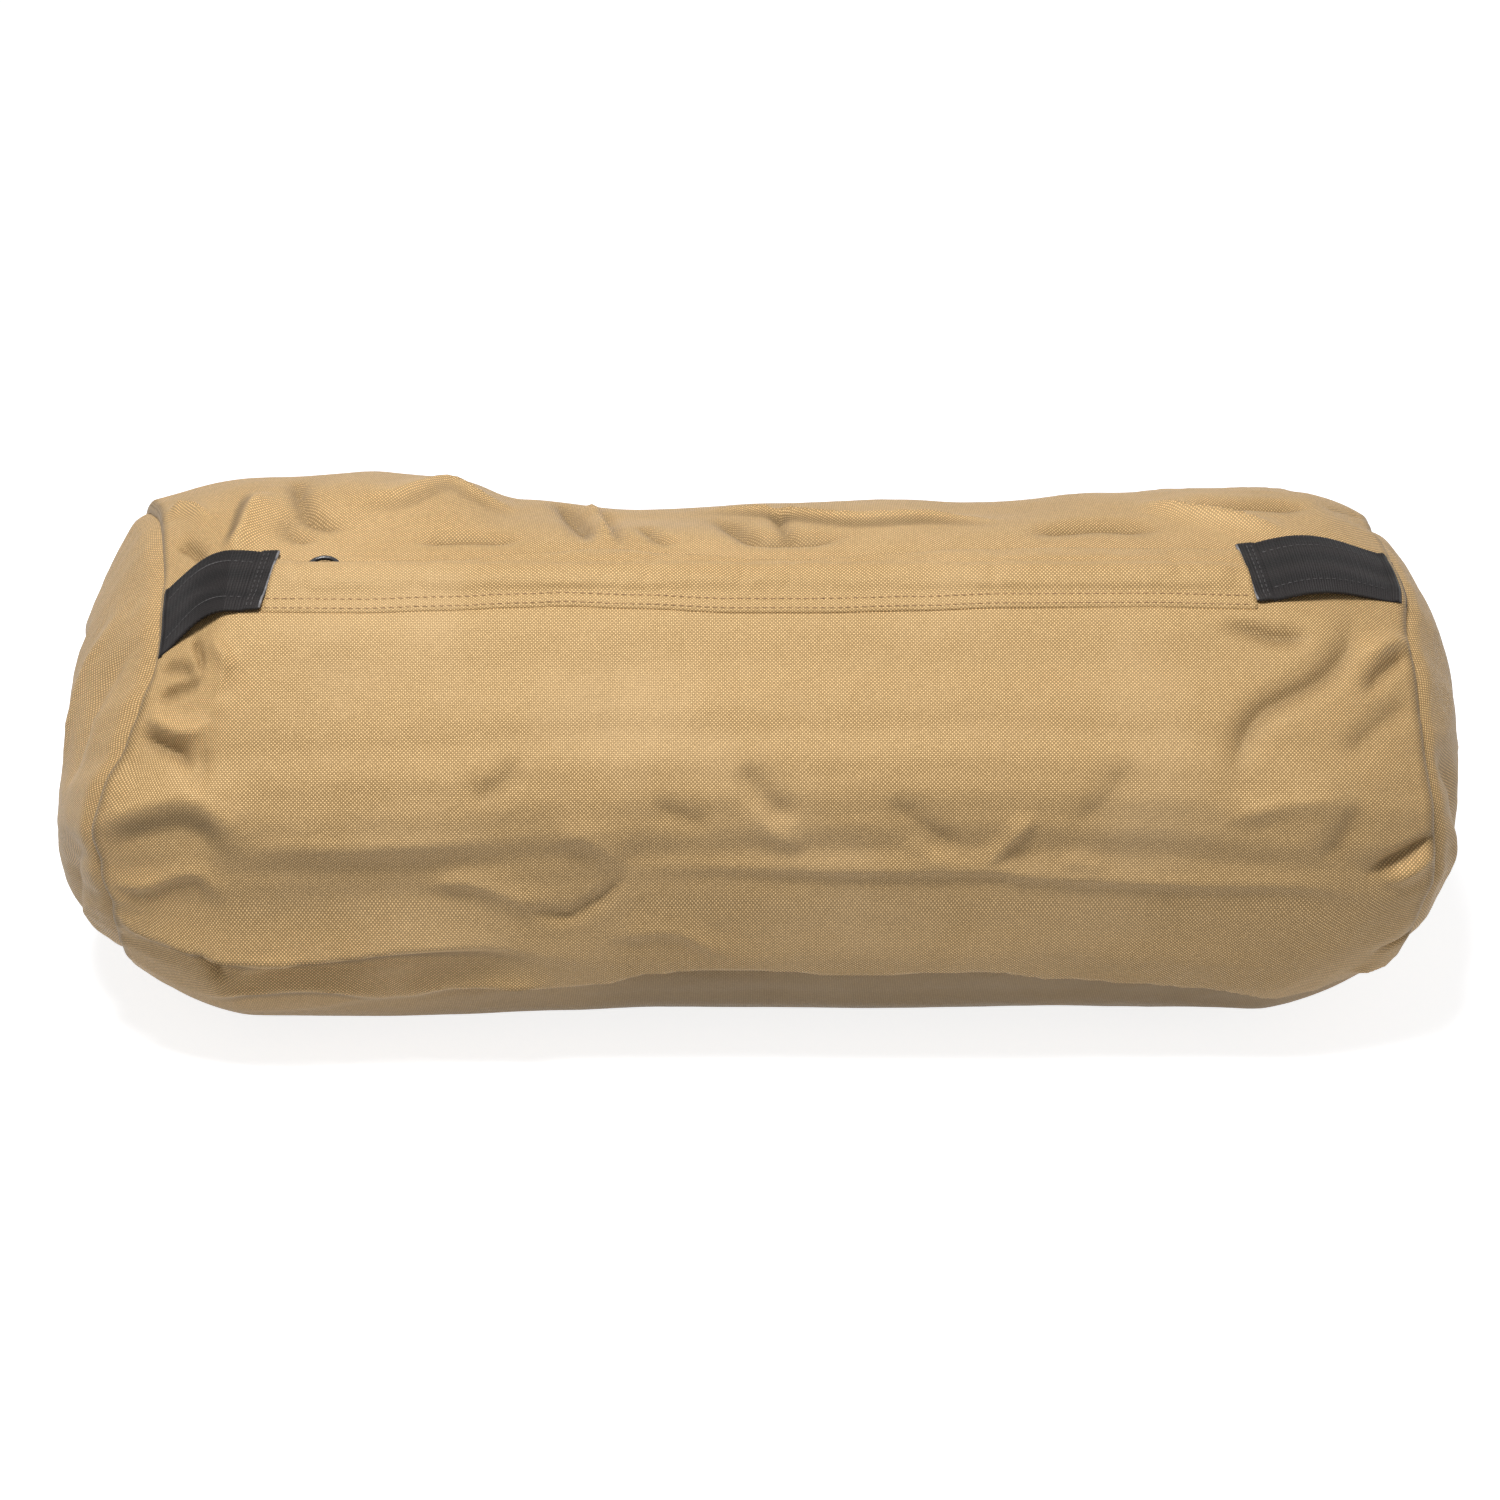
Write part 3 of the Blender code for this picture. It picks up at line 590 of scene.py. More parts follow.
folds = (
    # top left, where the cloth is pulled to the sharp corner and the strap
    fold("pleat", 0.0046, 0.020, (-0.211, 93.5), (-0.187, 95), (-0.163, 105), (-0.146, 101),
         (-0.121, 97.5)),
    fold("crease", 0.0063, 0.012, (-0.245, 105), (-0.237, 92), (-0.230, 86.5), (-0.210, 82.5)),
    fold("pleat", 0.0072, 0.018, (-0.258, 96.5), (-0.263, 87.5), (-0.266, 81.5), (-0.274, 76)),
    fold("crease", 0.0067, 0.012, (-0.327, 82.5), (-0.313, 80), (-0.294, 74.5)),
    fold("crease", 0.0045, 0.014, (-0.245, 89.5), (-0.240, 82), (-0.224, 79)),
    fold("crease", 0.0045, 0.012, (-0.177, 79), (-0.152, 81), (-0.120, 80)),
    fold("ridge", 0.0053, 0.012, (-0.337, 97), (-0.318, 95), (-0.296, 88)),
    # along the top
    fold("crease", 0.0078, 0.014, (-0.105, 112), (-0.095, 96), (-0.084, 79.5)),
    fold("crease", 0.0053, 0.009, (-0.081, 107.5), (-0.072, 84.5), (-0.065, 77.5)),
    fold("ridge", 0.0048, 0.010, (-0.089, 112), (-0.079, 88.5), (-0.073, 79)),
    fold("crease", 0.0045, 0.010, (-0.060, 89), (-0.049, 80.5), (-0.037, 79)),
    fold("crease", 0.0075, 0.016, (-0.022, 96.5), (-0.002, 82), (0.019, 80), (0.050, 81.5)),
    fold("crease", 0.0048, 0.009, (0.010, 101), (0.016, 86.5), (0.024, 79)),
    fold("pleat", 0.0057, 0.017, (-0.029, 106), (0.008, 98.5), (0.050, 90), (0.093, 92), (0.134, 90)),
    fold("crease", 0.0051, 0.014, (0.140, 83), (0.180, 86), (0.214, 84)),
    fold("ridge", 0.0067, 0.014, (0.205, 99.5), (0.224, 92.5), (0.249, 88), (0.277, 83.5)),
    fold("crease", 0.0054, 0.015, (0.225, 99), (0.262, 96.5), (0.298, 95)),
    fold("crease", 0.0024, 0.013, (0.337, 106), (0.328, 104), (0.306, 99)),
    # left end, under the strap
    fold("crease", 0.0054, 0.009, (-0.300, 54.5), (-0.291, 51), (-0.287, 46.5)),
    fold("ridge", 0.0050, 0.011, (-0.284, 54.5), (-0.267, 49.5), (-0.269, 43.5), (-0.273, 37.5)),
    fold("crease", 0.0050, 0.009, (-0.331, 47.5), (-0.316, 48.5), (-0.292, 47)),
    fold("crease", 0.0058, 0.009, (-0.326, 41.5), (-0.308, 43.5), (-0.286, 45.5)),
    fold("ridge", 0.0060, 0.011, (-0.335, 39.5), (-0.316, 36.5), (-0.294, 35), (-0.275, 36.5)),
    fold("crease", 0.0066, 0.012, (-0.332, 35), (-0.315, 32.5), (-0.296, 30), (-0.285, 25.5)),
    fold("crease", 0.0042, 0.012, (-0.275, 40.5), (-0.267, 44), (-0.265, 49)),
    # left end, below the middle
    fold("pleat", 0.0064, 0.026, (-0.345, 13.5), (-0.330, 18), (-0.312, 20.5), (-0.291, 22), (-0.272, 20),
         (-0.260, 15.5), (-0.250, 12.5)),
    fold("pleat", 0.0029, 0.022, (-0.253, 12.5), (-0.228, 12.5), (-0.203, 12), (-0.163, 13), (-0.128, 14)),
    fold("crease", 0.0031, 0.014, (-0.286, 22), (-0.279, 27), (-0.281, 32)),
    fold("pleat", 0.0037, 0.012, (-0.336, 2), (-0.315, 2.5), (-0.296, 5.5), (-0.282, 6), (-0.274, 2.5),
         (-0.267, -0.5)),
    fold("lap", 0.0083, 0.030, (-0.344, -3), (-0.337, -7.5), (-0.326, -11), (-0.309, -10.5), (-0.294, -11),
         (-0.268, -12), (-0.233, -12), (-0.207, -11), (-0.181, -9.5), (-0.134, -9.5), (-0.105, -13)),
    fold("crease", 0.0050, 0.009, (-0.292, -11), (-0.285, -13), (-0.279, -17), (-0.275, -20.5)),
    fold("ridge", 0.0031, 0.010, (-0.268, -17.5), (-0.253, -14), (-0.232, -12.5)),
    fold("pleat", 0.0055, 0.020, (-0.296, -30), (-0.271, -23.5), (-0.254, -22.5), (-0.233, -22),
         (-0.214, -23), (-0.199, -25.5), (-0.184, -27)),
    fold("pleat", 0.0042, 0.018, (-0.185, -27.5), (-0.171, -24), (-0.157, -22), (-0.130, -22.5),
         (-0.101, -23.5)),
    fold("pleat", 0.0031, 0.014, (-0.170, 2.5), (-0.153, 4), (-0.138, 3), (-0.117, 0), (-0.099, -1.5)),
    # the front, where the lit cloth turns under
    fold("pleat", 0.0036, 0.022, (-0.102, 13.5), (-0.087, 14.5), (-0.076, 11.5), (-0.064, 8)),
    fold("pleat", 0.0030, 0.013, (-0.067, 7.5), (-0.020, 7.5), (0.048, 7), (0.117, 7), (0.141, 5.5),
         (0.225, 3.5), (0.276, 3), (0.327, -3)),
    fold("crease", 0.0030, 0.008, (-0.119, -1), (-0.104, -2.5), (-0.095, -3), (-0.084, -1), (-0.075, 1),
         (-0.069, 4), (-0.066, 7)),
    fold("pleat", 0.0022, 0.014, (-0.079, -8.5), (-0.058, -6.5), (-0.038, -6.5), (-0.022, -10.5),
         (-0.010, -13)),
    fold("crease", 0.0038, 0.018, (-0.008, 29), (0.004, 23.5), (0.021, 17.5)),
    fold("ridge", 0.0030, 0.016, (-0.006, 22), (0.009, 15.5), (0.027, 11.5)),
    fold("crease", 0.0032, 0.018, (0.065, 22), (0.088, 16), (0.105, 11.5)),
    fold("ridge", 0.0024, 0.012, (0.076, 13.5), (0.089, 10), (0.099, 8)),
    fold("pleat", 0.0038, 0.010, (0.116, 8), (0.129, 13.5), (0.141, 19)),
    fold("crease", 0.0030, 0.016, (-0.117, 29.5), (-0.129, 24.5), (-0.142, 21)),
    fold("crease", 0.0026, 0.016, (-0.052, 22), (-0.037, 18.5), (-0.020, 16.5)),
    fold("crease", 0.0024, 0.020, (0.190, 30), (0.176, 22), (0.158, 16)),
    fold("pleat", 0.0020, 0.012, (0.154, 8), (0.164, 8.5), (0.175, 6)),
    # right end
    fold("crease", 0.0055, 0.013, (0.234, 58), (0.249, 56.5), (0.264, 54.5), (0.284, 54.5)),
    fold("crease", 0.0057, 0.016, (0.308, 62), (0.300, 52.5), (0.286, 46), (0.265, 41.5), (0.252, 38),
         (0.243, 32), (0.240, 24)),
    fold("crease", 0.0068, 0.011, (0.342, 55.5), (0.325, 50.5), (0.315, 46.5), (0.307, 42.5)),
    fold("ridge", 0.0052, 0.013, (0.343, 58), (0.325, 54.5), (0.311, 50.5)),
    fold("crease", 0.0036, 0.018, (0.334, 43), (0.312, 36), (0.294, 29.5)),
    fold("crease", 0.0039, 0.018, (0.301, 21.5), (0.294, 14), (0.285, 8.5)),
    fold("crease", 0.0068, 0.010, (0.345, 14), (0.339, 12), (0.327, 9.5), (0.313, 6.5), (0.305, 4.5)),
    fold("ridge", 0.0049, 0.012, (0.345, 8.5), (0.331, 5.5), (0.315, 2)),
    fold("crease", 0.0059, 0.010, (0.345, -10), (0.340, -19.5), (0.331, -22.5), (0.316, -20.5)),
    fold("pleat", 0.0039, 0.014, (0.310, -26), (0.334, -33), (0.343, -28)),
    fold("pleat", 0.0033, 0.016, (0.234, 17.5), (0.264, 21), (0.299, 22)),
    # the back and the far underside
    fold("lap", 0.0060, 0.024, (-0.08, 193), (-0.20, 188), (-0.32, 198)),
    fold("crease", 0.0050, 0.015, (0.32, 148), (0.24, 158), (0.15, 170), (0.08, 186)),
    fold("crease", 0.0045, 0.013, (-0.27, 126), (-0.20, 142), (-0.16, 160)),
    fold("ridge", 0.0040, 0.014, (-0.24, 132), (-0.17, 146), (-0.12, 168)),
    fold("pleat", 0.0055, 0.030, (0.30, 186), (0.10, 182), (-0.05, 184)),
    fold("crease", 0.0040, 0.012, (-0.34, 168), (-0.30, 165), (-0.26, 171)),
    fold("crease", 0.0045, 0.012, (0.345, 176), (0.31, 178), (0.27, 172)),
    fold("crease", 0.0035, 0.014, (0.00, 128), (0.05, 140), (0.07, 156)),
    fold("pleat", 0.0035, 0.016, (0.33, 122), (0.26, 128), (0.19, 124)),
    fold("crease", 0.0040, 0.012, (-0.34, 134), (-0.31, 131), (-0.28, 138)),
    fold("ridge", 0.0040, 0.014, (-0.34, 150), (-0.30, 149), (-0.25, 156)),
    fold("crease", 0.0038, 0.012, (0.345, 150), (0.32, 146), (0.29, 138)),
)


# a smooth curve from b to c, with a and d beyond its ends
def curveThrough(a, b, c, d, t):
    return 0.5 * (2 * b + (c - a) * t + (2 * a - 5 * b + 4 * c - d) * t**2 + (3 * b - a - 3 * c + d) * t**3)


# a smooth line through a fold's points, in metres on the flat cloth
def foldLine(points, steps=8):
    line = [np.array((x, math.radians(d) * bag["radius"])) for x, d in points]
    line = [2 * line[0] - line[1]] + line + [2 * line[-1] - line[-2]]
    smooth = []
    for a, b, c, d in zip(line, line[1:], line[2:], line[3:]):
        smooth += [curveThrough(a, b, c, d, k / steps) for k in range(steps)]
    return smooth + [line[-2]]


# how sharp each kind is, and how steeply it falls on its lower side
foldKinds = {"ridge": (2.1, 1.0), "crease": (2.3, 1.0), "lap": (1.5, 0.30), "pleat": (1.6, 0.6)}


# each fold's own profile across its line, faded in and out along it, and the painted shade it lays on the
# cloth below
def foldHeights(along, around):
    heights, shadeBelow = np.zeros_like(along), np.zeros_like(along)
    for one in folds:
        line = foldLine(one["line"])
        nearest, signed, run = np.full_like(along, 1.0), np.zeros_like(along), np.zeros_like(along)
        total = sum(np.linalg.norm(b - a) for a, b in zip(line, line[1:]))
        before = 0.0
        for start, end in zip(line, line[1:]):
            length = np.linalg.norm(end - start)
            dx, ds = (end - start) / length
            t = np.clip((along - start[0]) * dx + (around - start[1]) * ds, 0, length)
            offX, offS = along - start[0] - t * dx, around - start[1] - t * ds
            distance = np.hypot(offX, offS)
            closer = distance < nearest
            nearest = np.where(closer, distance, nearest)
            signed = np.where(closer, offS * dx - offX * ds, signed)
            run = np.where(closer, before + t, run)
            before += length
        fromEnd = np.minimum(run, total - run)
        taper = np.clip(fromEnd / (skin["foldEndShare"] * total) + skin["foldEndHeight"], 0, 1)
        power, below = foldKinds[one["kind"]]
        width = np.where(signed < 0, one["width"] * below, one["width"])
        profile = (1 - np.clip(nearest / width, 0, 1)) ** power
        taper = taper * taper * (3 - 2 * taper)
        heights += one["height"] * profile * taper
        # painted shade: a dark band on the cloth just below each lap and pleat
        if below < 1:
            low, high = skin["shadedHeights"]
            reach = np.clip(nearest / (skin["undersideReach"] * one["width"] * below), 0, 1)
            paintedShade = np.where(signed < 0, 4 * reach * (1 - reach), 0) * taper
            shadeBelow += paintedShade * smoothStep(one["height"], low, high)
    return heights, shadeBelow


skin = {
    "middleColumns": 92,
    "endColumns": 17,
    "edgeShares": (0.0, 0.30, 0.60, 0.84, 1.0),  # columns across the turned seam edge
    "seamTurn": 0.0040,
    "seamDrop": 0.0048,
    "slotRows": 4,
    "rowLength": 0.0050,
    "undulation": 0.0014,
    "undulationScales": (7, 1.1),  # along the bag, and round it
    "crumple": (0.0012, 0.0022),  # in the middle of the bag, and at its ends
    "crumpleRun": (0.16, 0.30),  # where along the bag it grows
    "crumpleScales": (15, 33),
    "driftScale": 11,
    "driftLength": 0.012,
    "crumpleLevel": 0.35,  # noise further from 0 than this lies below the cloth
    "patchScale": 6,
    "patchLevels": (-0.15, 0.3),
    "foldEndShare": 0.35,  # a fold fades over this share of its length
    "foldEndHeight": 0.15,
    "foldFade": 0.010,  # and over this length at a seam
    "undersideReach": 1.2,
    # the front's own profile, out from the round by degrees: flat above, a blunt nose and upright below
    "nose": (
        (-28, 0.0), (-16, -0.0014), (-6, -0.0030), (3, -0.0026), (9, -0.0012), (17, 0.0040), (22, 0.0056),
        (27, 0.0044), (36, 0.0), (48, -0.0020), (62, 0.0),
    ),
    "noseShares": (
        (-0.34, 0.25), (-0.29, 0.5), (-0.22, 0.9), (-0.10, 1.0), (0.20, 1.0), (0.29, 0.8), (0.34, 0.3),
    ),
    "noseDrift": (
        (-0.34, -6), (-0.25, -4), (-0.17, -3), (-0.08, 0), (0.12, 1.5), (0.20, 0), (0.28, -3), (0.34, -4),
    ),
    "flapSwell": 0.0022,  # the cloth rises this much towards the flap's seam
    "swellRise": (-0.052, -0.020),  # up the slope from the zip's line
    "swellFall": (-0.0150, -0.0095),
    "swellEnds": (0.250, 0.300),
    # the belly turns under along this line of (x, degrees), by this much
    "underLine": (
        (-0.34, -36), (-0.25, -36), (-0.184, -27), (-0.142, -22), (-0.101, -23.5), (-0.080, -23),
        (-0.054, -19), (-0.028, -17.5), (0.0, -17.5), (0.050, -19), (0.119, -17.5), (0.158, -21),
        (0.200, -23), (0.232, -25), (0.282, -31), (0.34, -34),
    ),
    "underTuck": (
        (-0.34, 0.001), (-0.22, 0.001), (-0.16, 0.0030), (-0.10, 0.0055), (-0.05, 0.0085), (0.0, 0.0095),
        (0.12, 0.0100), (0.20, 0.0090), (0.28, 0.0060), (0.34, 0.0025),
    ),
    "underFade": ((-84, 0.0), (-62, 0.35), (-48, 0.60), (-34, 1.0)),
    "underReach": 0.013,
    # painted shade under the belly's turn: how much along the bag, and from how far below its line
    "bellyShadeShares": ((-0.34, 0.2), (-0.20, 0.25), (-0.12, 0.6), (-0.04, 1.0), (0.25, 1.0), (0.34, 0.4)),
    "bellyShadeStart": (-0.5, 3.5),  # degrees below the belly's line
    # painted shade along the seams, in creases and below laps and pleats, and a painted highlight on crests
    "seamShadeRun": (0.0012, 0.0060),  # from the seam
    "seamShade": 1.3,
    "undersideShade": 1.9,
    "deepestShading": -1.7,
    "shadedHeights": (0.0022, 0.0070),  # laps and pleats this high get painted shade on the cloth below them
    "fullShadingHeight": 0.0040,  # a fold of this height gets its full painted shade or highlight
    "puckerHeight": 0.0024,
    "puckerReach": 0.022,
    "puckerScales": (4.6, 12),
    "zipCalm": (0.022, 0.033),  # the cloth lies still this near the zip, and freely beyond
    "zipCalmEnds": (0.010, 0.026),  # past the zip's ends
    "restingSines": (-0.995, -0.80),  # of the angle round the bag, where it lies on the floor
    "pressedSines": (-0.98, -0.72),
    "hemWalls": 1.6,  # the raw edge's depth, in walls
    # the settling of the slack cloth on its filling
    "frames": 24,
    "slackMiddle": 0.014,
    "slackEnds": 0.024,
    "slackRun": (0.18, 0.32),
    "seamHold": (0.006, 0.022),
    "hold": 0.110,
    "furthestMove": 0.0050,
    "quality": 5,
    "mass": 0.3,
    "stretchStiffness": 40,
    "shearStiffness": 12,
    "bendingStiffness": 3.0,
    "stretchDamping": 12,
    "bendingDamping": 1.5,
    "pressure": 0.6,
}


def columnPlaces():
    half, turn = bag["halfLength"], skin["seamTurn"]
    reach = half - turn - zipLine["halfLength"]
    count = skin["middleColumns"]
    middle = [zipLine["halfLength"] * (2 * k / count - 1) for k in range(count + 1)]
    outer = [zipLine["halfLength"] + reach * k / skin["endColumns"] for k in range(1, skin["endColumns"])]
    outer += [half - turn + turn * share for share in skin["edgeShares"]]
    return [-x for x in reversed(outer)] + middle + outer


def rowAngles():
    slot = zipLine["slotHalfWidth"] / zipLine["radius"]
    low, high = zipLine["angle"] - slot, zipLine["angle"] + slot
    start, end = -math.pi / 2, 3 * math.pi / 2
    lowCount = round((low - start) * bag["radius"] / skin["rowLength"])
    highCount = round((end - high) * bag["radius"] / skin["rowLength"])
    angles = [start + (low - start) * k / lowCount for k in range(lowCount)]
    angles += [low + (high - low) * k / skin["slotRows"] for k in range(skin["slotRows"])]
    return angles + [high + (end - high) * k / highCount for k in range(highCount + 1)]


# noise round the bag's end, each layer with a pattern of its own
def ringNoise(angle, scale, layer):
    return noise.noise(Vector((math.cos(angle) * scale, math.sin(angle) * scale, layer)))


# noise along and round the bag
def roundNoise(x, angle, along, around):
    return noise.noise(Vector((x * along, math.cos(angle) * around, math.sin(angle) * around)))


# puckers run in from both end seams, and are shared by the shell and its caps
def puckerShape(angle, side):
    bent = angle + 0.06 * ringNoise(angle, 4, side * 7)
    wideScale, tightScale = skin["puckerScales"]
    wide = ringNoise(bent, wideScale, side * 3 + 11)
    tight = ringNoise(bent, tightScale, side * 5 + 31)
    return 1.1 * wide + 0.8 * tight


def puckerOut(near, angle, side):
    return puckerShape(angle, side) * math.exp(-near / skin["puckerReach"]) * skin["puckerHeight"]


def seamTuck(x):
    near = bag["halfLength"] - abs(x)
    share = min(max(1 - near / skin["seamTurn"], 0.0), 1.0)
    return -skin["seamDrop"] * (1 - math.sqrt(max(1 - share * share, 0.0)))


# 0 where the cloth is held flat by the zip, 1 where it is free
def clothFreedom(x, angle):
    slope = abs(angle - zipLine["angle"]) * bag["radius"]
    calmEnds = 1 - smoothStep(abs(x), *(zipLine["halfLength"] + past for past in skin["zipCalmEnds"]))
    calm = 1 - smoothStep(slope, *skin["zipCalm"])
    return 1 - calm * calmEnds


def underTuck(x, angle):
    line = math.radians(runAlong(skin["underLine"], x)) * bag["radius"]
    turned = turnedFrom(angle)
    share = min(max((line - turned * bag["radius"]) / skin["underReach"], 0.0), 1.0)
    fade = runAlong(skin["underFade"], math.degrees(turned))
    return -runAlong(skin["underTuck"], x) * (1 - (1 - share) ** 2) * fade


# painted shade: the cloth is darker under the belly's turn, where it stands on the floor
def shadedUnderBelly(x, angle):
    line = runAlong(skin["underLine"], x)
    below = line - math.degrees(turnedFrom(angle))
    return smoothStep(below, *skin["bellyShadeStart"]) * runAlong(skin["bellyShadeShares"], x)


def noseShape(x, angle):
    degrees = math.degrees(turnedFrom(angle)) - runAlong(skin["noseDrift"], x)
    return runAlong(skin["noseShares"], x) * runAlong(skin["nose"], degrees)


# up to the flap's seam and down again behind it, between the straps
def flapSwell(x, angle):
    slope = (angle - zipLine["angle"]) * zipLine["radius"]
    rise = smoothStep(slope, *skin["swellRise"]) * (1 - smoothStep(slope, *skin["swellFall"]))
    return skin["flapSwell"] * rise * (1 - smoothStep(abs(x), *skin["swellEnds"]))


# long soft waves in the cloth before it settles
def undulation(x, angle):
    along, around = skin["undulationScales"]
    spot = Vector((x * along, math.cos(angle) * around, math.sin(angle) * around))
    soft = noise.noise(spot) + 0.5 * noise.noise(spot * 2.3 + Vector((5, 3, 1)))
    return soft * skin["undulation"]


# small sharp crumples in patches
def crumples(x, angle):
    spot = Vector((x, math.cos(angle) * bag["radius"], math.sin(angle) * bag["radius"]))
    bent = spot + noise.noise_vector(spot * skin["driftScale"]) * skin["driftLength"]
    wide, tight = skin["crumpleScales"]
    level = skin["crumpleLevel"]
    ridged = level - abs(noise.noise(bent * wide))
    ridged += 0.45 * (level - abs(noise.noise(bent * tight + Vector((3, 7, 2)))))
    cloud = noise.noise(spot * skin["patchScale"] + Vector((9, 1, 4)))
    patch = 0.25 + 0.75 * smoothStep(cloud, *skin["patchLevels"])
    low, high = skin["crumple"]
    return ridged * patch * (low + (high - low) * smoothStep(abs(x), *skin["crumpleRun"]))


# the slack cloth buckles against its filling: held softly everywhere, and firmly at the seams and the zip
def settleCloth(piece, firm, slack):
    start, frames = meshCoords(piece.data), skin["frames"]
    held = piece.vertex_groups.new(name="held")
    loose = piece.vertex_groups.new(name="slack")
    for k, (hold, ease) in enumerate(zip(firm, slack)):
        held.add([k], float(hold), "REPLACE")
        loose.add([k], float(ease), "REPLACE")
    cloth = piece.modifiers.new("Settling", "CLOTH")
    settings = cloth.settings
    settings.quality = skin["quality"]
    settings.mass = skin["mass"]
    settings.tension_stiffness = skin["stretchStiffness"]
    settings.compression_stiffness = skin["stretchStiffness"]
    settings.shear_stiffness = skin["shearStiffness"]
    settings.bending_stiffness = skin["bendingStiffness"]
    settings.tension_damping = skin["stretchDamping"]
    settings.compression_damping = skin["stretchDamping"]
    settings.bending_damping = skin["bendingDamping"]
    settings.use_pressure = True
    settings.uniform_pressure_force = skin["pressure"]
    settings.vertex_group_mass = "held"
    settings.pin_stiffness = 1.0
    settings.vertex_group_shrink = "slack"
    settings.shrink_min = 0.0
    settings.shrink_max = -skin["slackEnds"]
    settings.effector_weights.gravity = 0.0
    cloth.point_cache.frame_start = 1
    cloth.point_cache.frame_end = frames
    for step in range(1, frames + 1):
        bpy.context.scene.frame_set(step)
    settled = bpy.data.meshes.new_from_object(piece.evaluated_get(bpy.context.evaluated_depsgraph_get()))
    move = meshCoords(settled) - start
    bpy.data.meshes.remove(settled)
    piece.modifiers.clear()
    piece.vertex_groups.clear()
    length = np.linalg.norm(move, axis=1)
    usual, most = (round(float(value) * 1000, 2) for value in (length.mean(), length.max()))
    print("cloth settled by", usual, "mm, at most", most)
    move *= (np.minimum(length, skin["furthestMove"]) / np.maximum(length, 1e-9))[:, None]
    setCoords(piece.data, start + move)
    bpy.context.scene.frame_set(1)


def buildSkin():
    xs, angles = columnPlaces(), rowAngles()
    columns, rows = len(xs) - 1, len(angles) - 1

    def pick(s, t):
        return xs[round(s * columns)], angles[round(t * rows)]

    def place(s, t):
        return Vector((*pick(s, t), 0))

    def flat(s, t):
        x, angle = pick(s, t)
        return x, angle * bag["radius"]

    def keep(s, t):
        x = xs[int(s * columns)] + 1e-6
        angle = angles[int(t * rows)] + 1e-6
        slope = (angle - zipLine["angle"]) * zipLine["radius"]
        return abs(x) > zipLine["halfLength"] or abs(slope) > zipLine["slotHalfWidth"]

    bm = clothGrid(columns, rows, place, flat, keep)
    along = bm.verts.layers.float.new("along")
    around = bm.verts.layers.float.new("around")
    for vertex in bm.verts:
        vertex[along], vertex[around] = vertex.co.x, vertex.co.y
    piece = pieceFrom(bm, "bag_skin", bagNylon)
    mesh = piece.data
    alongs, arounds = floatValues(mesh, "along"), floatValues(mesh, "around")
    coords = np.empty((len(alongs), 3))
    firm, slack = np.ones(len(alongs)), np.zeros(len(alongs))
    for k, (x, angle) in enumerate(zip(alongs, arounds)):
        side = -1 if x < 0 else 1
        near = bag["halfLength"] - abs(x)
        free = clothFreedom(x, angle)
        floorFree = smoothStep(math.sin(angle), *skin["restingSines"])
        out = (undulation(x, angle) + puckerOut(near, angle, side)) * free * (0.2 + 0.8 * floorFree)
        coords[k] = bagPoint(x, angle, out + seamTuck(x))
        ease = smoothStep(near, *skin["seamHold"]) * smoothStep(free, 0.1, 0.9) * floorFree
        firm[k] = max(1 - ease, skin["hold"])
        slack[k] = (skin["slackMiddle"] / skin["slackEnds"] + smoothStep(abs(x), *skin["slackRun"])) * ease
    slack = np.clip(slack, 0, 1)
    setCoords(mesh, coords)
    settleCloth(piece, firm, slack)
    addSmoothing(piece)
    mesh = piece.data
    alongs, arounds = floatValues(mesh, "along"), floatValues(mesh, "around")
    coords = meshCoords(mesh)
    heights, shadeBelow = foldHeights(alongs, arounds * bag["radius"])
    foldShading, bellyShade = np.zeros(len(alongs)), np.zeros(len(alongs))
    for k, (x, angle) in enumerate(zip(alongs, arounds)):
        floorFree = smoothStep(math.sin(angle), *skin["pressedSines"])
        free = clothFreedom(x, angle) * (0.15 + 0.85 * floorFree)
        near = bag["halfLength"] - abs(x)
        faded = 0.35 + 0.65 * smoothStep(near, 0, skin["foldFade"])
        folded = (heights[k] * faded + crumples(x, angle)) * free
        # painted shade along the seams, in creases and below laps and pleats, and a painted highlight on
        # crests
        seamShading = 1 - smoothStep(near, *skin["seamShadeRun"])
        paintedShade = skin["seamShade"] * seamShading + skin["undersideShade"] * shadeBelow[k] * free
        foldShading[k] = np.clip(max(folded / skin["fullShadingHeight"], -1) - paintedShade, skin["deepestShading"], 1)
        # painted shade under the belly's turn
        bellyShade[k] = shadedUnderBelly(x, angle)
        out = folded + underTuck(x, angle) + noseShape(x, angle) + flapSwell(x, angle)
        coords[k] += np.array((0, -math.cos(angle), math.sin(angle))) * out
        coords[k][2] = max(coords[k][2], bag["floorGap"])
    setCoords(mesh, coords)
    for name, values in (("foldShading", foldShading), ("bellyShade", bellyShade)):
        mesh.attributes.new(name, "FLOAT", "POINT").data.foreach_set("value", values)
    bm = bmesh.new()
    bm.from_mesh(mesh)
    bmesh.ops.remove_doubles(bm, verts=bm.verts, dist=weldDistance)
    edges = [e for e in bm.edges if e.is_boundary]
    made = bmesh.ops.extrude_edge_only(bm, edges=edges)["geom"]
    for vertex in (g for g in made if isinstance(g, bmesh.types.BMVert)):
        middle = Vector((vertex.co.x, 0, bag["axisHeight"]))
        inward = (middle - vertex.co).normalized()
        vertex.co += inward * bag["wall"] * skin["hemWalls"]
    bmesh.ops.recalc_face_normals(bm, faces=bm.faces)
    for face in bm.faces:
        face.smooth = True
    bm.to_mesh(mesh)
    bm.free()
    return piece


bagSkin = buildSkin()
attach(bagSkin, "root")
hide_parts("bag_shell")
print("bag skin:", len(bagSkin.data.polygons), "faces")


def meshTree(piece):
    mesh = piece.data
    return BVHTree.FromPolygons([v.co for v in mesh.vertices], [p.vertices for p in mesh.polygons])


skinTree = meshTree(bagSkin)


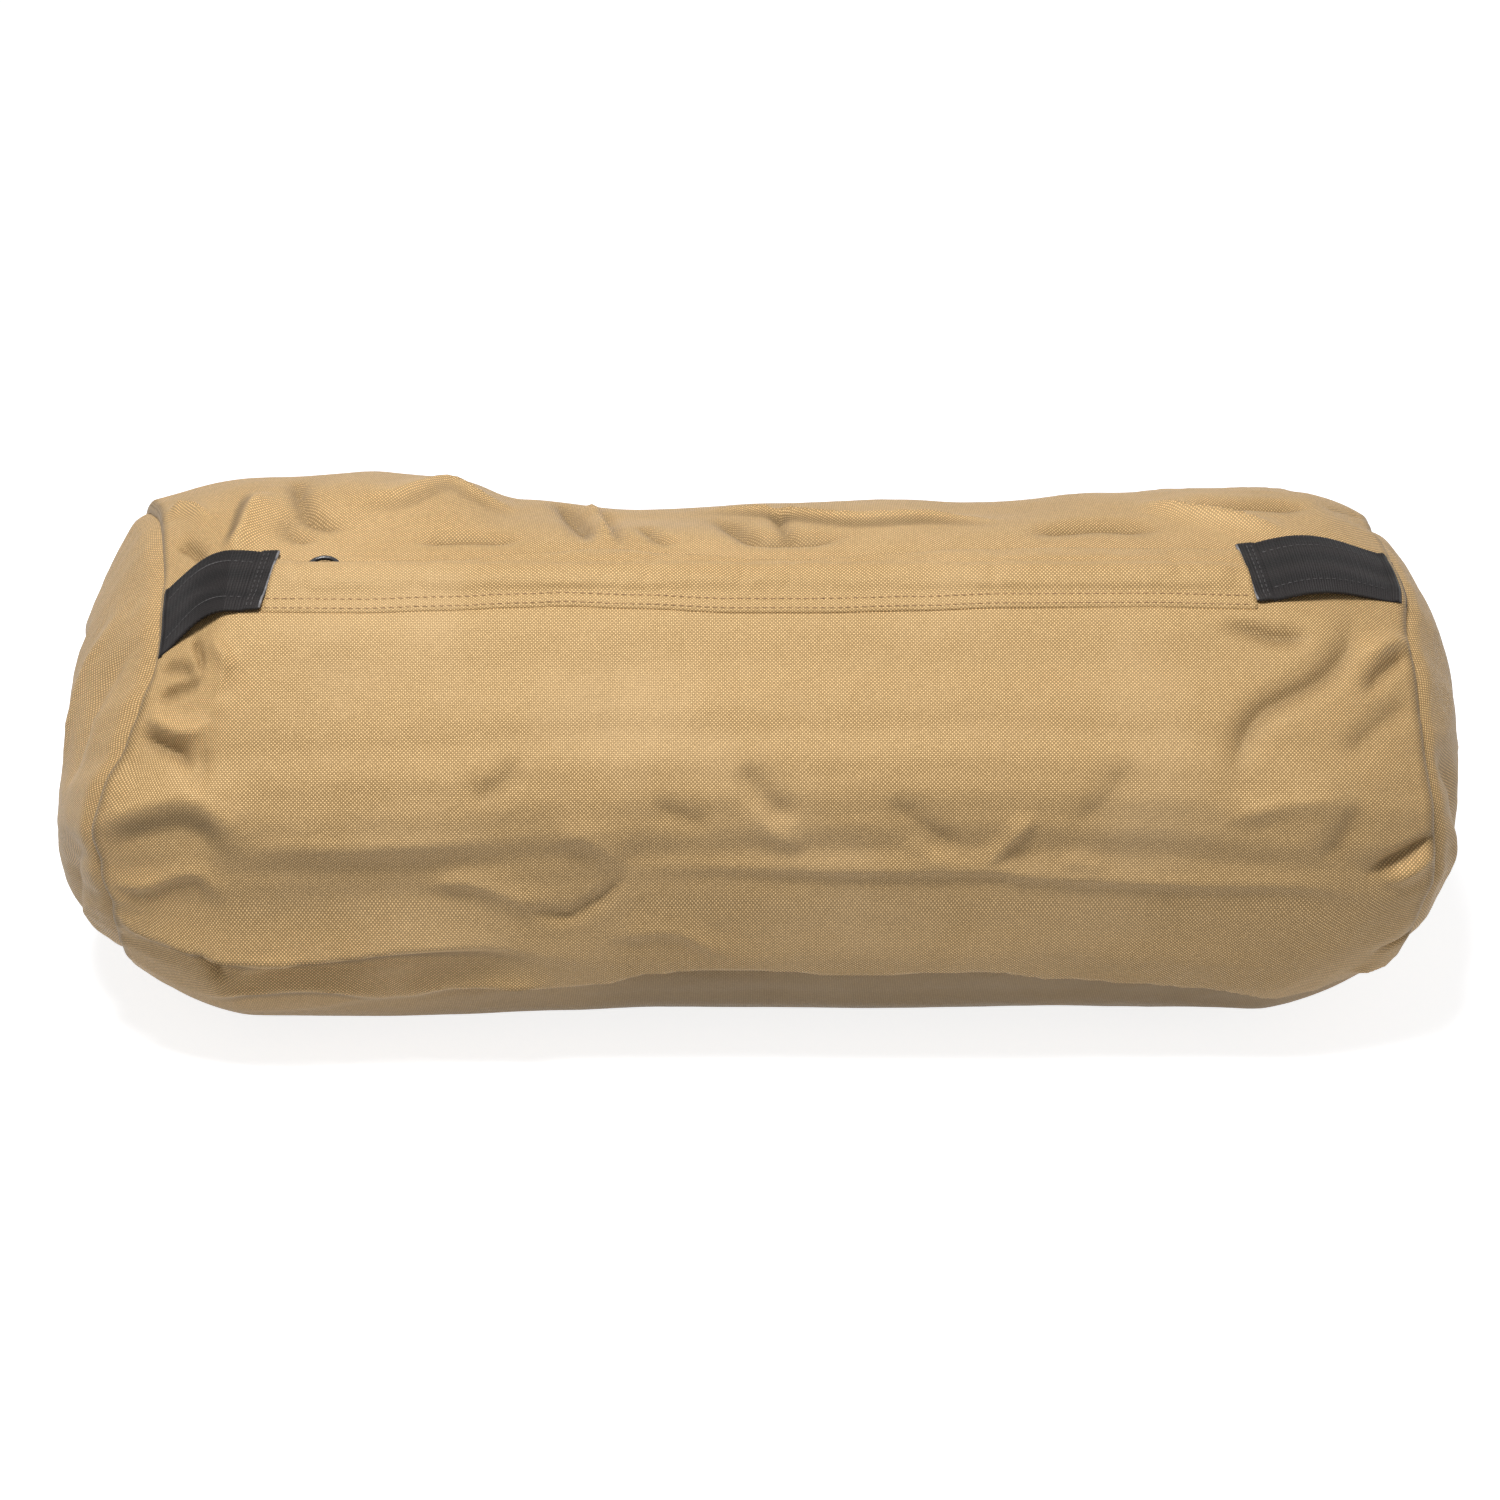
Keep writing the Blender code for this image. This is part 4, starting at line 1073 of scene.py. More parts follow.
# how far the finished cloth stands from the bag's axis, so that what is sewn on it sits on it
def clothRadius(x, angle, otherwise):
    ray = Vector((0, -math.cos(angle), math.sin(angle)))
    inner, mostOff = 0.09, 0.02  # where the ray starts, and how far off its hit may be
    reach = skinTree.ray_cast(Vector((x, 0, bag["axisHeight"])) + ray * inner, ray)[3]
    return otherwise if reach is None or abs(reach + inner - otherwise) > mostOff else reach + inner


# end caps: domed panels that bulge out past their seams
cap = {
    "crown": 0.036,
    "sags": {-1: 0.034, 1: 0.0},
    "domePower": 2.6,
    "rings": 46,
    "spokes": 220,
    "rimInset": 0.0044,
    "rimBack": 0.0038,
    "puff": 0.0036,  # the cloth comes straight out of the seam before it turns over
    "puffReach": 0.0064,
    "slack": 0.0032,
    "slackScale": 13,
    "slackReach": 0.022,  # it lies flat nearer the seam than this
    "puckerFade": 0.008,
    "ringPower": 0.72,  # below 1 sets the rings closer to the seam
    "flatStart": 0.6,
    "bulge": 0.003,
    "foldPower": 1.6,
    "foldEnds": (-0.1, 0.4),  # shares of its length over which a fold fades in and out
    # folds over the cap: (height, half width, then points as y and z)
    "folds": {
        -1: (
            (-0.0060, 0.014, (-0.060, 0.235), (-0.066, 0.190), (-0.088, 0.150)),
            (0.0050, 0.014, (-0.030, 0.235), (-0.045, 0.180), (-0.062, 0.140)),
            (-0.0055, 0.014, (-0.120, 0.140), (-0.095, 0.110), (-0.085, 0.075)),
            (0.0055, 0.015, (-0.128, 0.105), (-0.105, 0.085), (-0.100, 0.050)),
            (-0.0060, 0.013, (-0.120, 0.070), (-0.090, 0.055), (-0.060, 0.052)),
            (0.0050, 0.015, (-0.030, 0.120), (0.020, 0.105), (0.060, 0.120)),
            (-0.0050, 0.015, (0.000, 0.200), (0.035, 0.160), (0.080, 0.150)),
            (-0.0045, 0.014, (0.030, 0.050), (0.070, 0.070), (0.110, 0.070)),
        ),
        1: (
            (-0.0050, 0.013, (-0.110, 0.190), (-0.090, 0.160), (-0.080, 0.120)),
            (0.0045, 0.014, (-0.125, 0.160), (-0.105, 0.130), (-0.100, 0.090)),
            (-0.0055, 0.013, (-0.130, 0.080), (-0.100, 0.065), (-0.070, 0.070)),
            (0.0045, 0.016, (-0.050, 0.150), (0.000, 0.135), (0.050, 0.150)),
            (-0.0050, 0.015, (0.010, 0.210), (0.040, 0.170), (0.085, 0.155)),
            (-0.0045, 0.015, (-0.020, 0.040), (0.025, 0.060), (0.075, 0.055)),
        ),
    },
}


def capFolds(side, y, z):
    out = 0.0
    for height, width, *points in cap["folds"][side]:
        nearest, at, before = 1.0, 0.0, 0.0
        total = sum(math.dist(p, q) for p, q in zip(points, points[1:]))
        for (y0, z0), (y1, z1) in zip(points, points[1:]):
            length = math.dist((y0, z0), (y1, z1))
            t = min(max(((y - y0) * (y1 - y0) + (z - z0) * (z1 - z0)) / length, 0), length)
            distance = math.hypot(y - y0 - (y1 - y0) * t / length, z - z0 - (z1 - z0) * t / length)
            if distance < nearest:
                nearest, at = distance, before + t
            before += length
        taper = smoothStep(min(at, total - at), *(share * total for share in cap["foldEnds"]))
        out += height * (1 - min(nearest / width, 1)) ** cap["foldPower"] * taper
    return out


def buildCap(name, side):
    crown = side * (bag["halfLength"] + cap["crown"])
    middle = bag["axisHeight"] - cap["sags"][side]

    def place(s, t):
        angle = side * 2 * math.pi * s - math.pi / 2
        share = t ** cap["ringPower"]
        turned = turnedFrom(angle)
        rim = bagPoint(side * bag["halfLength"], turned, -cap["rimInset"])
        rise = 1 - share ** cap["domePower"]
        start = rim.x - side * cap["rimBack"]
        near = (1 - share) * bag["radius"]
        puff = 1 - max(1 - near / cap["puffReach"], 0) ** 2
        x = start + (crown - rim.x) * rise + side * puff * (cap["rimBack"] + cap["puff"] * (1 - rise))
        y, z = rim.y * share, middle + (rim.z - middle) * share
        pucker = puckerOut(near, turned, side) * min(near / cap["puckerFade"], 1)
        spot = Vector((side * 9, y * cap["slackScale"], z * cap["slackScale"]))
        soft = noise.noise(spot)
        soft += 0.6 * (0.35 - abs(noise.noise(spot * 2.1))) + 0.25 * (0.35 - abs(noise.noise(spot * 5)))
        out = pucker + (soft * cap["slack"] + capFolds(side, y, z)) * min(near / cap["slackReach"], 1)
        x += side * out
        limit = bag["halfLength"] + cap["crown"] + cap["bulge"]
        return Vector((max(min(x, limit), -limit), y, max(z, bag["floorGap"])))

    # how far the cloth runs from the middle to each ring
    lengths = [(0.0, 0.0)]
    for k in range(cap["rings"]):
        start, end = (place(0.25, (k + step) / cap["rings"]) for step in (0, 1))
        lengths.append(((k + 1) / cap["rings"], lengths[-1][1] + (end - start).length))

    def flat(s, t):
        angle = side * 2 * math.pi * s - math.pi / 2
        reach = runAlong(lengths, t)
        return reach * math.cos(angle), cap["flatStart"] + reach * math.sin(angle)

    bm = clothGrid(cap["spokes"], cap["rings"], place, flat)
    closeSeams(bm)
    piece = pieceFrom(bm, name, bagNylon)
    outward = sum(f.normal.x * f.area for f in piece.data.polygons) * side
    if outward < 0:
        piece.data.flip_normals()
    return addSmoothing(piece)


liningTrees = [skinTree]
for name, side, node in (("cap_skin_left", -1, "end_cap_left"), ("cap_skin_right", 1, "end_cap_right")):
    capSkin = buildCap(name, side)
    liningTrees.append(meshTree(capSkin))
    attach(capSkin, "root")
    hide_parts(node)
print("end caps made")


# seam bindings inside the ends
binding = {
    "width": 0.007,
    "skirt": 0.011,
    "inset": 0.0085,
    "thickness": 0.0008,
    "crown": 0.0004,  # how far its middle bows inwards
    "spokes": 180,
    "rows": 4,
}
bindingRows = (("binding_left", -1, "seam_binding_left"), ("binding_right", 1, "seam_binding_right"))
for name, side, node in bindingRows:

    def bindingPlace(s, t, side=side):
        angle = 2 * math.pi * s - math.pi / 2
        out = -binding["inset"] - binding["crown"] * math.sin(math.pi * t)
        spot = bagPoint(side * bag["halfLength"], angle, out)
        spot.x -= side * (binding["skirt"] - binding["width"] + binding["width"] * t)
        return spot

    def bindingFlat(s, t):
        return s * 2 * math.pi * bag["radius"], t * binding["width"]

    bm = clothGrid(binding["spokes"], binding["rows"], bindingPlace, bindingFlat)
    closeSeams(bm)
    tape = addThickness(pieceFrom(bm, name, bindingTape), binding["thickness"], 0)
    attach(tape, "root")
    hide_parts(node)
print("bindings made")


# webbing straps, sewn at the zip's ends and in the end seams
strap = {
    "width": 0.040,
    "thickness": 0.0018,
    "arch": 0.0080,
    "archPower": 1.0,
    "sewn": 0.009,
    "endClearance": 0.0005,
    "starts": {-1: 0.2474, 1: 0.2518},
    "centres": {-1: -0.0010, 1: 0.0040},  # up the slope from the zip's line, at the hem
    "drops": {-1: 0.0230, 1: -0.0140},  # how far the sewn-in end runs down the seam
    "dropPowers": {-1: 1.6, 1: 1.0},
    "slants": {-1: 0.0066, 1: 0.0072},  # how far the hem leans along the bag over its width
    "columns": 150,
    "rows": 46,
    "ribHeight": 0.00016,
    "lengthRows": (0.20, 0.80),  # rows of stitches along it, as shares of its width
    "lengthPitch": 0.0036,
    "hemRows": (0.0046, 0.0068),  # rows of stitches across it, from the hem
    "hemStitches": 12,
    "hemMargin": 0.04,  # left free of stitches, as a share of its width
    "hemStitch": (0.00036, 0.0024),  # radius and length
    "hemStitchOut": 0.0010,
    "hemFold": 0.0016,
    "hemFoldRun": (0.0075, 0.0095),
    "hemRounding": 0.0008,
    "lengthStart": 0.012,
    "lengthMargin": 0.020,
    "lengthStitchRadius": 0.00032,
    "lengthStitchShare": 0.66,  # of the pitch
    "lengthStitchOut": 0.0001,
    "hemRoundedShare": 0.006,
    "selvedge": 0.00025,
    "selvedgeShares": (0.44, 0.48),  # of its width, from its middle
    "ribRoom": 0.0002,
    "restShares": (0.06, 0.94),  # where it lies on the cloth
    "tuck": 0.0065,  # how far its end turns down into the seam
    "tuckStart": 0.93,
    "edgeDrop": 0.0009,  # how much its edges hang where it arches
    "beadCuts": 40,
    "beadMargin": 0.015,
    "beadOut": 0.0004,
    "beadRadii": (0.0007, 0.0008),
}


def strapHem(side, across):
    return strap["starts"][side] + strap["slants"][side] * (0.5 - across)


def strapEnds(side, across):
    return strapHem(side, across), bag["halfLength"] - strap["endClearance"]


# storm flap, one cloth from its sewn edge over the slider to its free edge
flap = {
    "endGap": 0.0007,  # left between its ends and the straps' hems
    "hinge": -0.0135,
    "columns": 240,
    "rows": 44,
    "thickness": 0.0011,
    # up the slope, and out of the zip's surface, from the sewn edge to the crest
    "line": (
        (-0.0208, 0.0037), (-0.0202, 0.0047), (-0.0182, 0.0053), (-0.0155, 0.0057), (-0.0130, 0.0059),
        (-0.0100, 0.0068), (-0.0070, 0.0082), (-0.0045, 0.0091), (-0.0010, 0.0098), (0.0035, 0.0099),
    ),
    # its height beyond the crest, against the place up the slope
    "fall": (
        (0.0035, 0.0099), (0.0055, 0.0089), (0.0075, 0.0077), (0.0130, 0.0072), (0.0165, 0.0058),
        (0.0210, 0.0042),
    ),
    "sewnOut": 0.0057,
    "endFall": (0.237, 0.249, 0.55),
    # how far up the slope the free edge runs and the stitches stray, against x
    "edgeRun": (
        (-0.2485, 0.0105), (-0.236, 0.0085), (-0.228, 0.0072), (-0.206, 0.0070), (-0.184, 0.0078),
        (-0.151, 0.0085), (-0.120, 0.0135), (-0.079, 0.0185), (-0.028, 0.0125), (0.002, 0.0090),
        (0.024, 0.0086), (0.045, 0.0105), (0.070, 0.0140), (0.106, 0.0180), (0.140, 0.0205),
        (0.212, 0.0200), (0.2485, 0.0185),
    ),
    # small creases across it: x at the seam, x at the free edge, half width and depth
    "creases": (
        (-0.058, -0.050, 0.0035, 0.0011), (-0.046, -0.043, 0.0030, 0.0008),
        (-0.009, -0.003, 0.0035, 0.0010), (0.014, 0.020, 0.0030, 0.0009), (0.222, 0.210, 0.0035, 0.0011),
        (-0.176, -0.168, 0.0045, 0.0009), (0.118, 0.126, 0.0050, 0.0007),
        (-0.226, -0.232, 0.0035, 0.0009),
    ),
    "stitchRun": (
        (-0.2485, -0.0008), (-0.200, -0.0012), (-0.158, 0.0002), (-0.119, 0.0020), (-0.097, 0.0028),
        (-0.060, 0.0014), (-0.010, -0.0008), (0.030, -0.0008), (0.082, 0.0004), (0.125, 0.0020),
        (0.200, 0.0024), (0.2485, 0.0012),
    ),
    "stitchPitch": 0.0042,
    "stitchRows": (-0.0134, -0.0184),
    "stitchShare": 0.74,  # of the pitch
    "stitchRadius": 0.00034,
    "stitchOut": 0.0001,
    "strayFade": (-0.013, -0.006),
    "edgeSteps": 4,
    "wrinkle": 0.0008,
    "lowestWrinkle": -0.15,
    "wrinkleShares": (0.25, 0.6),  # of the way over the flap, where the wrinkles grow
    "creaseShares": (0.30, 0.5),
    "creasePower": 1.5,
    "ease": 0.0006,  # more of it stands off beyond the sewn edge
    "flatStart": 0.17,
    "width": 0.038,  # across, where its ends lean with the straps' hems
    "flatWidth": 0.040,
    "bend": (-0.0010, 0.0040),  # where it starts and ends to bend, up the slope from the hinge
    "bendHeight": 0.0034,
}


def flapSection(x):
    stray = runAlong(flap["stitchRun"], x)
    edge = runAlong(flap["edgeRun"], x)
    line = []
    for slope, height in flap["line"]:
        line.append((slope + stray * (1 - smoothStep(slope, *flap["strayFade"])), height))
    last = line[-1][0]
    for k in range(flap["edgeSteps"]):
        slope = last + (edge - last) * (k + 1) / flap["edgeSteps"]
        line.append((slope, runAlong(flap["fall"], slope)))
    near, far, share = flap["endFall"]
    lowered = share * smoothStep(abs(x), near, far)
    sewn = flap["sewnOut"]
    return [(slope, height - lowered * max(height - sewn, 0)) for slope, height in line]


# the flap's end, which follows the hem of the strap beside it
def flapEnd(side, slope):
    across = min(max((slope - strap["centres"][side]) / strap["width"] + 0.5, 0.0), 1.0)
    return side * (strapHem(side, across) - flap["endGap"])


def flapCreases(x, share):
    out = 0.0
    for seamX, edgeX, width, depth in flap["creases"]:
        away = abs(x - seamX - (edgeX - seamX) * share) / width
        out -= depth * max(1 - away, 0) ** flap["creasePower"]
    return out


def flapPlace(x, share):
    line = flapSection(x)
    spans = [math.dist(a, b) for a, b in zip(line, line[1:])]
    wanted = share * sum(spans)
    for k, span in enumerate(spans):
        if wanted <= span or k == len(spans) - 1:
            break
        wanted -= span
    t = min(wanted / span, 1.0)
    ends = [line[max(k - 1, 0)], line[k], line[k + 1], line[min(k + 2, len(line) - 1)]]
    a, b, c, d = (Vector(p) for p in ends)
    curve = curveThrough(a, b, c, d, t)
    wave = noise.noise(Vector((x * 34, share * 3.0, 2)))
    wave += 0.5 * noise.noise(Vector((x * 90, share * 6.0, 8)))
    free = smoothStep(share, *flap["wrinkleShares"])
    out = curve.y + max(wave, flap["lowestWrinkle"]) * flap["wrinkle"] * free + flap["ease"] * free
    return zipPoint(x, curve.x, out + flapCreases(x, share) * smoothStep(share, *flap["creaseShares"]))


def buildFlap():
    def across(s, t):
        first, last = (flapEnd(side, flap["line"][0][0] + flap["width"] * t) for side in (-1, 1))
        return first + (last - first) * s

    def place(s, t):
        return flapPlace(across(s, t), t)

    def flat(s, t):
        return across(s, t), flap["flatStart"] + t * flap["flatWidth"]

    bm = clothGrid(flap["columns"], flap["rows"], place, flat)
    bmesh.ops.recalc_face_normals(bm, faces=bm.faces)
    return addThickness(faceUp(pieceFrom(bm, "storm_flap", bagNylon)), flap["thickness"], -1)


stormFlap = buildFlap()
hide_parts("zip_flap", "flap_seam")
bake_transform(stormFlap)


def buildFlapStitches():
    bm = bmesh.new()
    first, last = (flapEnd(side, flap["stitchRows"][0]) for side in (-1, 1))
    count = int((last - first) / flap["stitchPitch"])
    step = 0.002
    for row in flap["stitchRows"]:
        places = []
        for k in range(count):
            x = first + (k + 0.5) * flap["stitchPitch"]
            slope = row + runAlong(flap["stitchRun"], x)
            before, after = (runAlong(flap["stitchRun"], x + way * step) for way in (-1, 1))
            rise = (after - before) / (2 * step)
            middle = zipPoint(x, slope, runAlong(flap["line"][:5], row) + flap["stitchOut"])
            outward = outwardAt(middle)
            up = outward.cross(Vector((1, 0, 0))) * -1
            ahead = (Vector((1, 0, 0)) + up * rise).normalized()
            places.append((middle, ahead, outward))
        stitchRow(bm, places, flap["stitchRadius"], flap["stitchPitch"] * flap["stitchShare"])
    return pieceFrom(bm, "flap_stitches", tanThread)


flapStitches = buildFlapStitches()
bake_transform(flapStitches)
print("storm flap sewn")


# zip: tapes, coil rows, stops, slider and pull loop
tape = {
    "inner": 0.0048,
    "outer": 0.019,
    "thickness": 0.0008,
    "halfLength": 0.249,
    "columns": 100,
    "rows": 8,
}
coil = {
    "pitch": 0.0025,
    "wire": 0.00036,
    "inner": 0.0003,
    "outer": 0.0044,
    "halfHeight": 0.0011,
    "halfLength": 0.238,
    "steps": 8,  # to a turn
}
for name, side, node in (("tape_lower", -1, "zip_tape_lower"), ("tape_upper", 1, "zip_tape_upper")):

    def tapePlace(s, t, side=side):
        slope = side * (tape["inner"] + (tape["outer"] - tape["inner"]) * t)
        return zipPoint(tape["halfLength"] * (2 * s - 1), slope, -tape["thickness"] / 2)

    def tapeFlat(s, t):
        return tape["halfLength"] * 2 * s, (tape["outer"] - tape["inner"]) * t

    bm = clothGrid(tape["columns"], tape["rows"], tapePlace, tapeFlat)
    bmesh.ops.recalc_face_normals(bm, faces=bm.faces)
    woven = addThickness(pieceFrom(bm, name, zipTape), tape["thickness"], 0)
    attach(woven, "root")
    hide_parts(node)


# one unbroken helix for each row: flattened turns that reach towards the other row
def buildCoil(name, side):
    steps = coil["steps"]
    turns = int(2 * coil["halfLength"] / coil["pitch"]) - 1
    curve = bpy.data.curves.new(name, "CURVE")
    curve.dimensions = "3D"
    curve.bevel_depth = coil["wire"]
    curve.bevel_resolution = 1
    curve.use_fill_caps = True
    line = curve.splines.new("POLY")
    line.points.add(turns * steps)
    for k, point in enumerate(line.points):
        turn = 2 * math.pi * k / steps
        x = -coil["halfLength"] + coil["pitch"] * (k / steps + 0.5 + 0.25 * side)
        reach = coil["outer"] - coil["inner"] - 2 * coil["wire"]
        slope = side * (coil["inner"] + coil["wire"] + reach * (1 - math.cos(turn)) / 2)
        height = (coil["halfHeight"] - coil["wire"]) * math.sin(turn)
        point.co = (*zipPoint(x, slope, height), 1)
    return meshFromCurve(name, curve, coilNylon)


for name, side, node in (("coil_lower", -1, "zip_coil_lower"), ("coil_upper", 1, "zip_coil_upper")):
    row = buildCoil(name, side)
    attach(row, "root")
    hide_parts(node)


# a rounded block in the slider's flat frame
def flatBlock(bm, xRange, slopeRange, outRange, rounding, segments=3):
    made = bmesh.ops.create_cube(bm, size=1)["verts"]
    spans = (xRange, slopeRange, outRange)
    for vertex in made:
        spot = [low + (high - low) * (c + 0.5) for c, (low, high) in zip(vertex.co, spans)]
        vertex.co = zipFlatPoint(*spot)
    edges = list({e for v in made for e in v.link_edges})
    bmesh.ops.bevel(bm, geom=edges, offset=rounding, offset_type="OFFSET", segments=segments, profile=0.5,
                    affect="EDGES", material=-1)


def bothWays(half):
    return -half, half


# each end stop: two jaws clamped on the coils, and a bridge between them
stops = {
    "jaw": (0.0004, 0.0042),
    "halfHeight": 0.0013,
    "rounding": 0.0005,
    "bridgeInset": 0.0008,
    "bridgeHalves": (0.0006, 0.0009),
    "bridgeRounding": 0.0003,
}
for name, node in (("stop_left", "zip_stop_left"), ("stop_right", "zip_stop_right")):
    low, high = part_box(node)
    bm = bmesh.new()
    near, far = stops["jaw"]
    for jaw in ((-far, -near), (near, far)):
        flatBlock(bm, (low.x, high.x), jaw, bothWays(stops["halfHeight"]), stops["rounding"])
    bridge = (low.x + stops["bridgeInset"], high.x - stops["bridgeInset"])
    flatBlock(bm, bridge, *(bothWays(half) for half in stops["bridgeHalves"]), stops["bridgeRounding"])
    stop = pieceFrom(bm, name, sliderPaint)
    stop.data.shade_smooth()
    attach(stop, "root")
    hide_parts(node)

sliderLow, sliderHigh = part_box("zip_slider")
sliderX = (sliderLow.x + sliderHigh.x) / 2
slider = {
    "halfLength": (sliderHigh.x - sliderLow.x) / 2,
    "halfWidth": 0.0068,
    "plate": (0.0017, 0.0030),  # its underside and top, out from the chain
    "plateRounding": 0.0006,
    "lip": (0.00095, 0.0024),
    "lipWidth": 0.0013,
    "lipInset": 0.0004,
    "lipRounding": 0.0004,
    "legs": (0.0034, 0.0045),
    "legTop": 0.0070,
    "legRounding": 0.0003,
    "bridge": (0.0062, 0.0073),
    "bridgeRounding": 0.0004,
    "bailHalfLength": 0.0016,
    "postHalves": (0.0015, 0.00045),  # along the zip, and across it
    "postRounding": 0.0002,
}


def buildSlider():
    bm = bmesh.new()
    half, wide, top = slider["halfLength"], slider["halfWidth"], slider["lip"][1]

    def lengthwise(halfLength):
        return sliderX - halfLength, sliderX + halfLength

    def mirrored(low, high):
        return (low, high), (-high, -low)

    bail = lengthwise(slider["bailHalfLength"])
    for height in mirrored(*slider["plate"]):
        flatBlock(bm, lengthwise(half), bothWays(wide), height, slider["plateRounding"])
    for side in (-1, 1):
        lip = sorted((side * (wide - slider["lipWidth"]), side * wide))
        for height in mirrored(*slider["lip"]):
            flatBlock(bm, lengthwise(half - slider["lipInset"]), lip, height, slider["lipRounding"])
        leg = sorted(side * reach for reach in slider["legs"])
        flatBlock(bm, bail, leg, (top, slider["legTop"]), slider["legRounding"])
    flatBlock(bm, bail, bothWays(slider["legs"][1]), slider["bridge"], slider["bridgeRounding"])
    postLength, postWidth = slider["postHalves"]
    flatBlock(bm, lengthwise(postLength), bothWays(postWidth), bothWays(top), slider["postRounding"], 2)
    return pieceFrom(bm, "slider_body", sliderPaint)


sliderBody = buildSlider()
sliderBody.data.shade_smooth()
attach(sliderBody, "zip_slider")
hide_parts("zip_slider")

pull = {
    "rod": 0.00125,
    "barHalf": 0.0056,
    "arcRadius": 0.0085,
    "length": 0.0132,
    "height": 0.0046,
    "spread": 200,  # degrees of its arc
    "steps": 26,
}


def buildPull():
    centre = pull["length"] - pull["arcRadius"]
    outline = []
    for k in range(pull["steps"] + 1):
        turn = math.pi / 2 + math.radians(pull["spread"]) * (k / pull["steps"] - 0.5)
        outline.append((pull["arcRadius"] * math.cos(turn), centre + pull["arcRadius"] * math.sin(turn)))
    half = pull["barHalf"]
    outline.append((-half, pull["rod"] * 0.5))
    outline += [(half * share, 0.0) for share in (-0.8, 0.0, 0.8)]
    outline.append((half, pull["rod"] * 0.5))
    curve = bpy.data.curves.new("pull_loop", "CURVE")
    curve.dimensions = "3D"
    curve.bevel_depth = pull["rod"]
    curve.bevel_resolution = 5
    line = curve.splines.new("POLY")
    line.points.add(len(outline) - 1)
    line.use_cyclic_u = True
    for point, (along, slope) in zip(line.points, outline):
        point.co = (*zipFlatPoint(sliderX + along, slope, pull["height"]), 1)
    return meshFromCurve("pull_loop", curve, loopCoat)


pullLoop = buildPull()
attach(pullLoop, "zip_pull")
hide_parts("zip_pull")
print("zip made")


# a place on a strap: share 0 is the hem and 1 the seam, across 0 the lower edge and 1 the upper
def strapPlace(side, share, across, out=0.0):
    hem, end = strapEnds(side, across)
    nominal = side * (hem + (end - hem) * share)
    slope = strap["centres"][side] + strap["width"] * (across - 0.5)
    slope -= strap["drops"][side] * share ** strap["dropPowers"][side]
    angle = zipLine["angle"] + slope / bag["radius"]
    radius = 0.0
    towardsSeam = smoothStep(share, *strap["restShares"])
    for at, weight in zip(strap["restShares"], (1 - towardsSeam, towardsSeam)):
        spot = side * (hem + (end - hem) * at)
        radius += weight * clothRadius(leaned(spot, angle), angle, sectionRadius(spot, angle))
    sewn = strap["sewn"] / (end - hem)
    raised = min(max((share - sewn) / (1 - 2 * sewn), 0.0), 1.0)
    lift = math.sin(math.pi * raised) ** strap["archPower"]
    tuck = -strap["tuck"] * smoothStep(share, strap["tuckStart"], 1.0)
    radius += bag["sewnGap"] + strap["arch"] * lift + strap["thickness"] + out + tuck
    radius -= strap["edgeDrop"] * (2 * abs(across - 0.5)) ** 3 * lift
    y, z = -radius * math.cos(angle), bag["axisHeight"] + radius * math.sin(angle)
    return Vector((leaned(nominal, angle), y, z))


def buildStrap(name, side):
    length = bag["halfLength"] - strap["endClearance"] - strap["starts"][side]

    def place(s, t):
        doubled = strap["hemFold"] * (1 - smoothStep(s * length, *strap["hemFoldRun"]))  # folded under
        rib = strap["ribHeight"] * math.cos(2 * math.pi * s * length / webbing["ribPitch"])
        selvedge = strap["selvedge"] * smoothStep(abs(t - 0.5), *strap["selvedgeShares"])
        rounded = strap["hemRounding"] * (1 - smoothStep(s, 0, strap["hemRoundedShare"]))
        return strapPlace(side, s, t, doubled * 0.5 + rib + selvedge - rounded)

    def flat(s, t):
        return s * length, t * strap["width"]

    bm = clothGrid(strap["columns"], strap["rows"], place, flat)
    bmesh.ops.recalc_face_normals(bm, faces=bm.faces)
    band = faceUp(pieceFrom(bm, name, strapWebbing))
    return addThickness(band, strap["thickness"] - strap["ribRoom"], -1)


def strapStitch(side, share, across, ahead, out):
    middle = strapPlace(side, share, across, out)
    further = strapPlace(side, share + ahead[0], across + ahead[1], out)
    return middle, (further - middle).normalized(), outwardAt(middle)


def buildStrapStitches(name, side):
    length = bag["halfLength"] - strap["endClearance"] - strap["starts"][side]
    bm = bmesh.new()
    places = []
    for distance in strap["hemRows"]:
        for k in range(strap["hemStitches"]):
            across = (k + 0.5) / strap["hemStitches"] * (1 - 2 * strap["hemMargin"]) + strap["hemMargin"]
            places.append(strapStitch(side, distance / length, across, (0, 0.02), strap["hemStitchOut"]))
    stitchRow(bm, places, *strap["hemStitch"])
    places = []
    for across in strap["lengthRows"]:
        for k in range(int((length - strap["lengthMargin"]) / strap["lengthPitch"])):
            share = (strap["lengthStart"] + strap["lengthPitch"] * k) / length
            places.append(strapStitch(side, share, across, (0.01, 0), strap["lengthStitchOut"]))
    stitchRow(bm, places, strap["lengthStitchRadius"], strap["lengthPitch"] * strap["lengthStitchShare"])
    return pieceFrom(bm, name, blackThread)
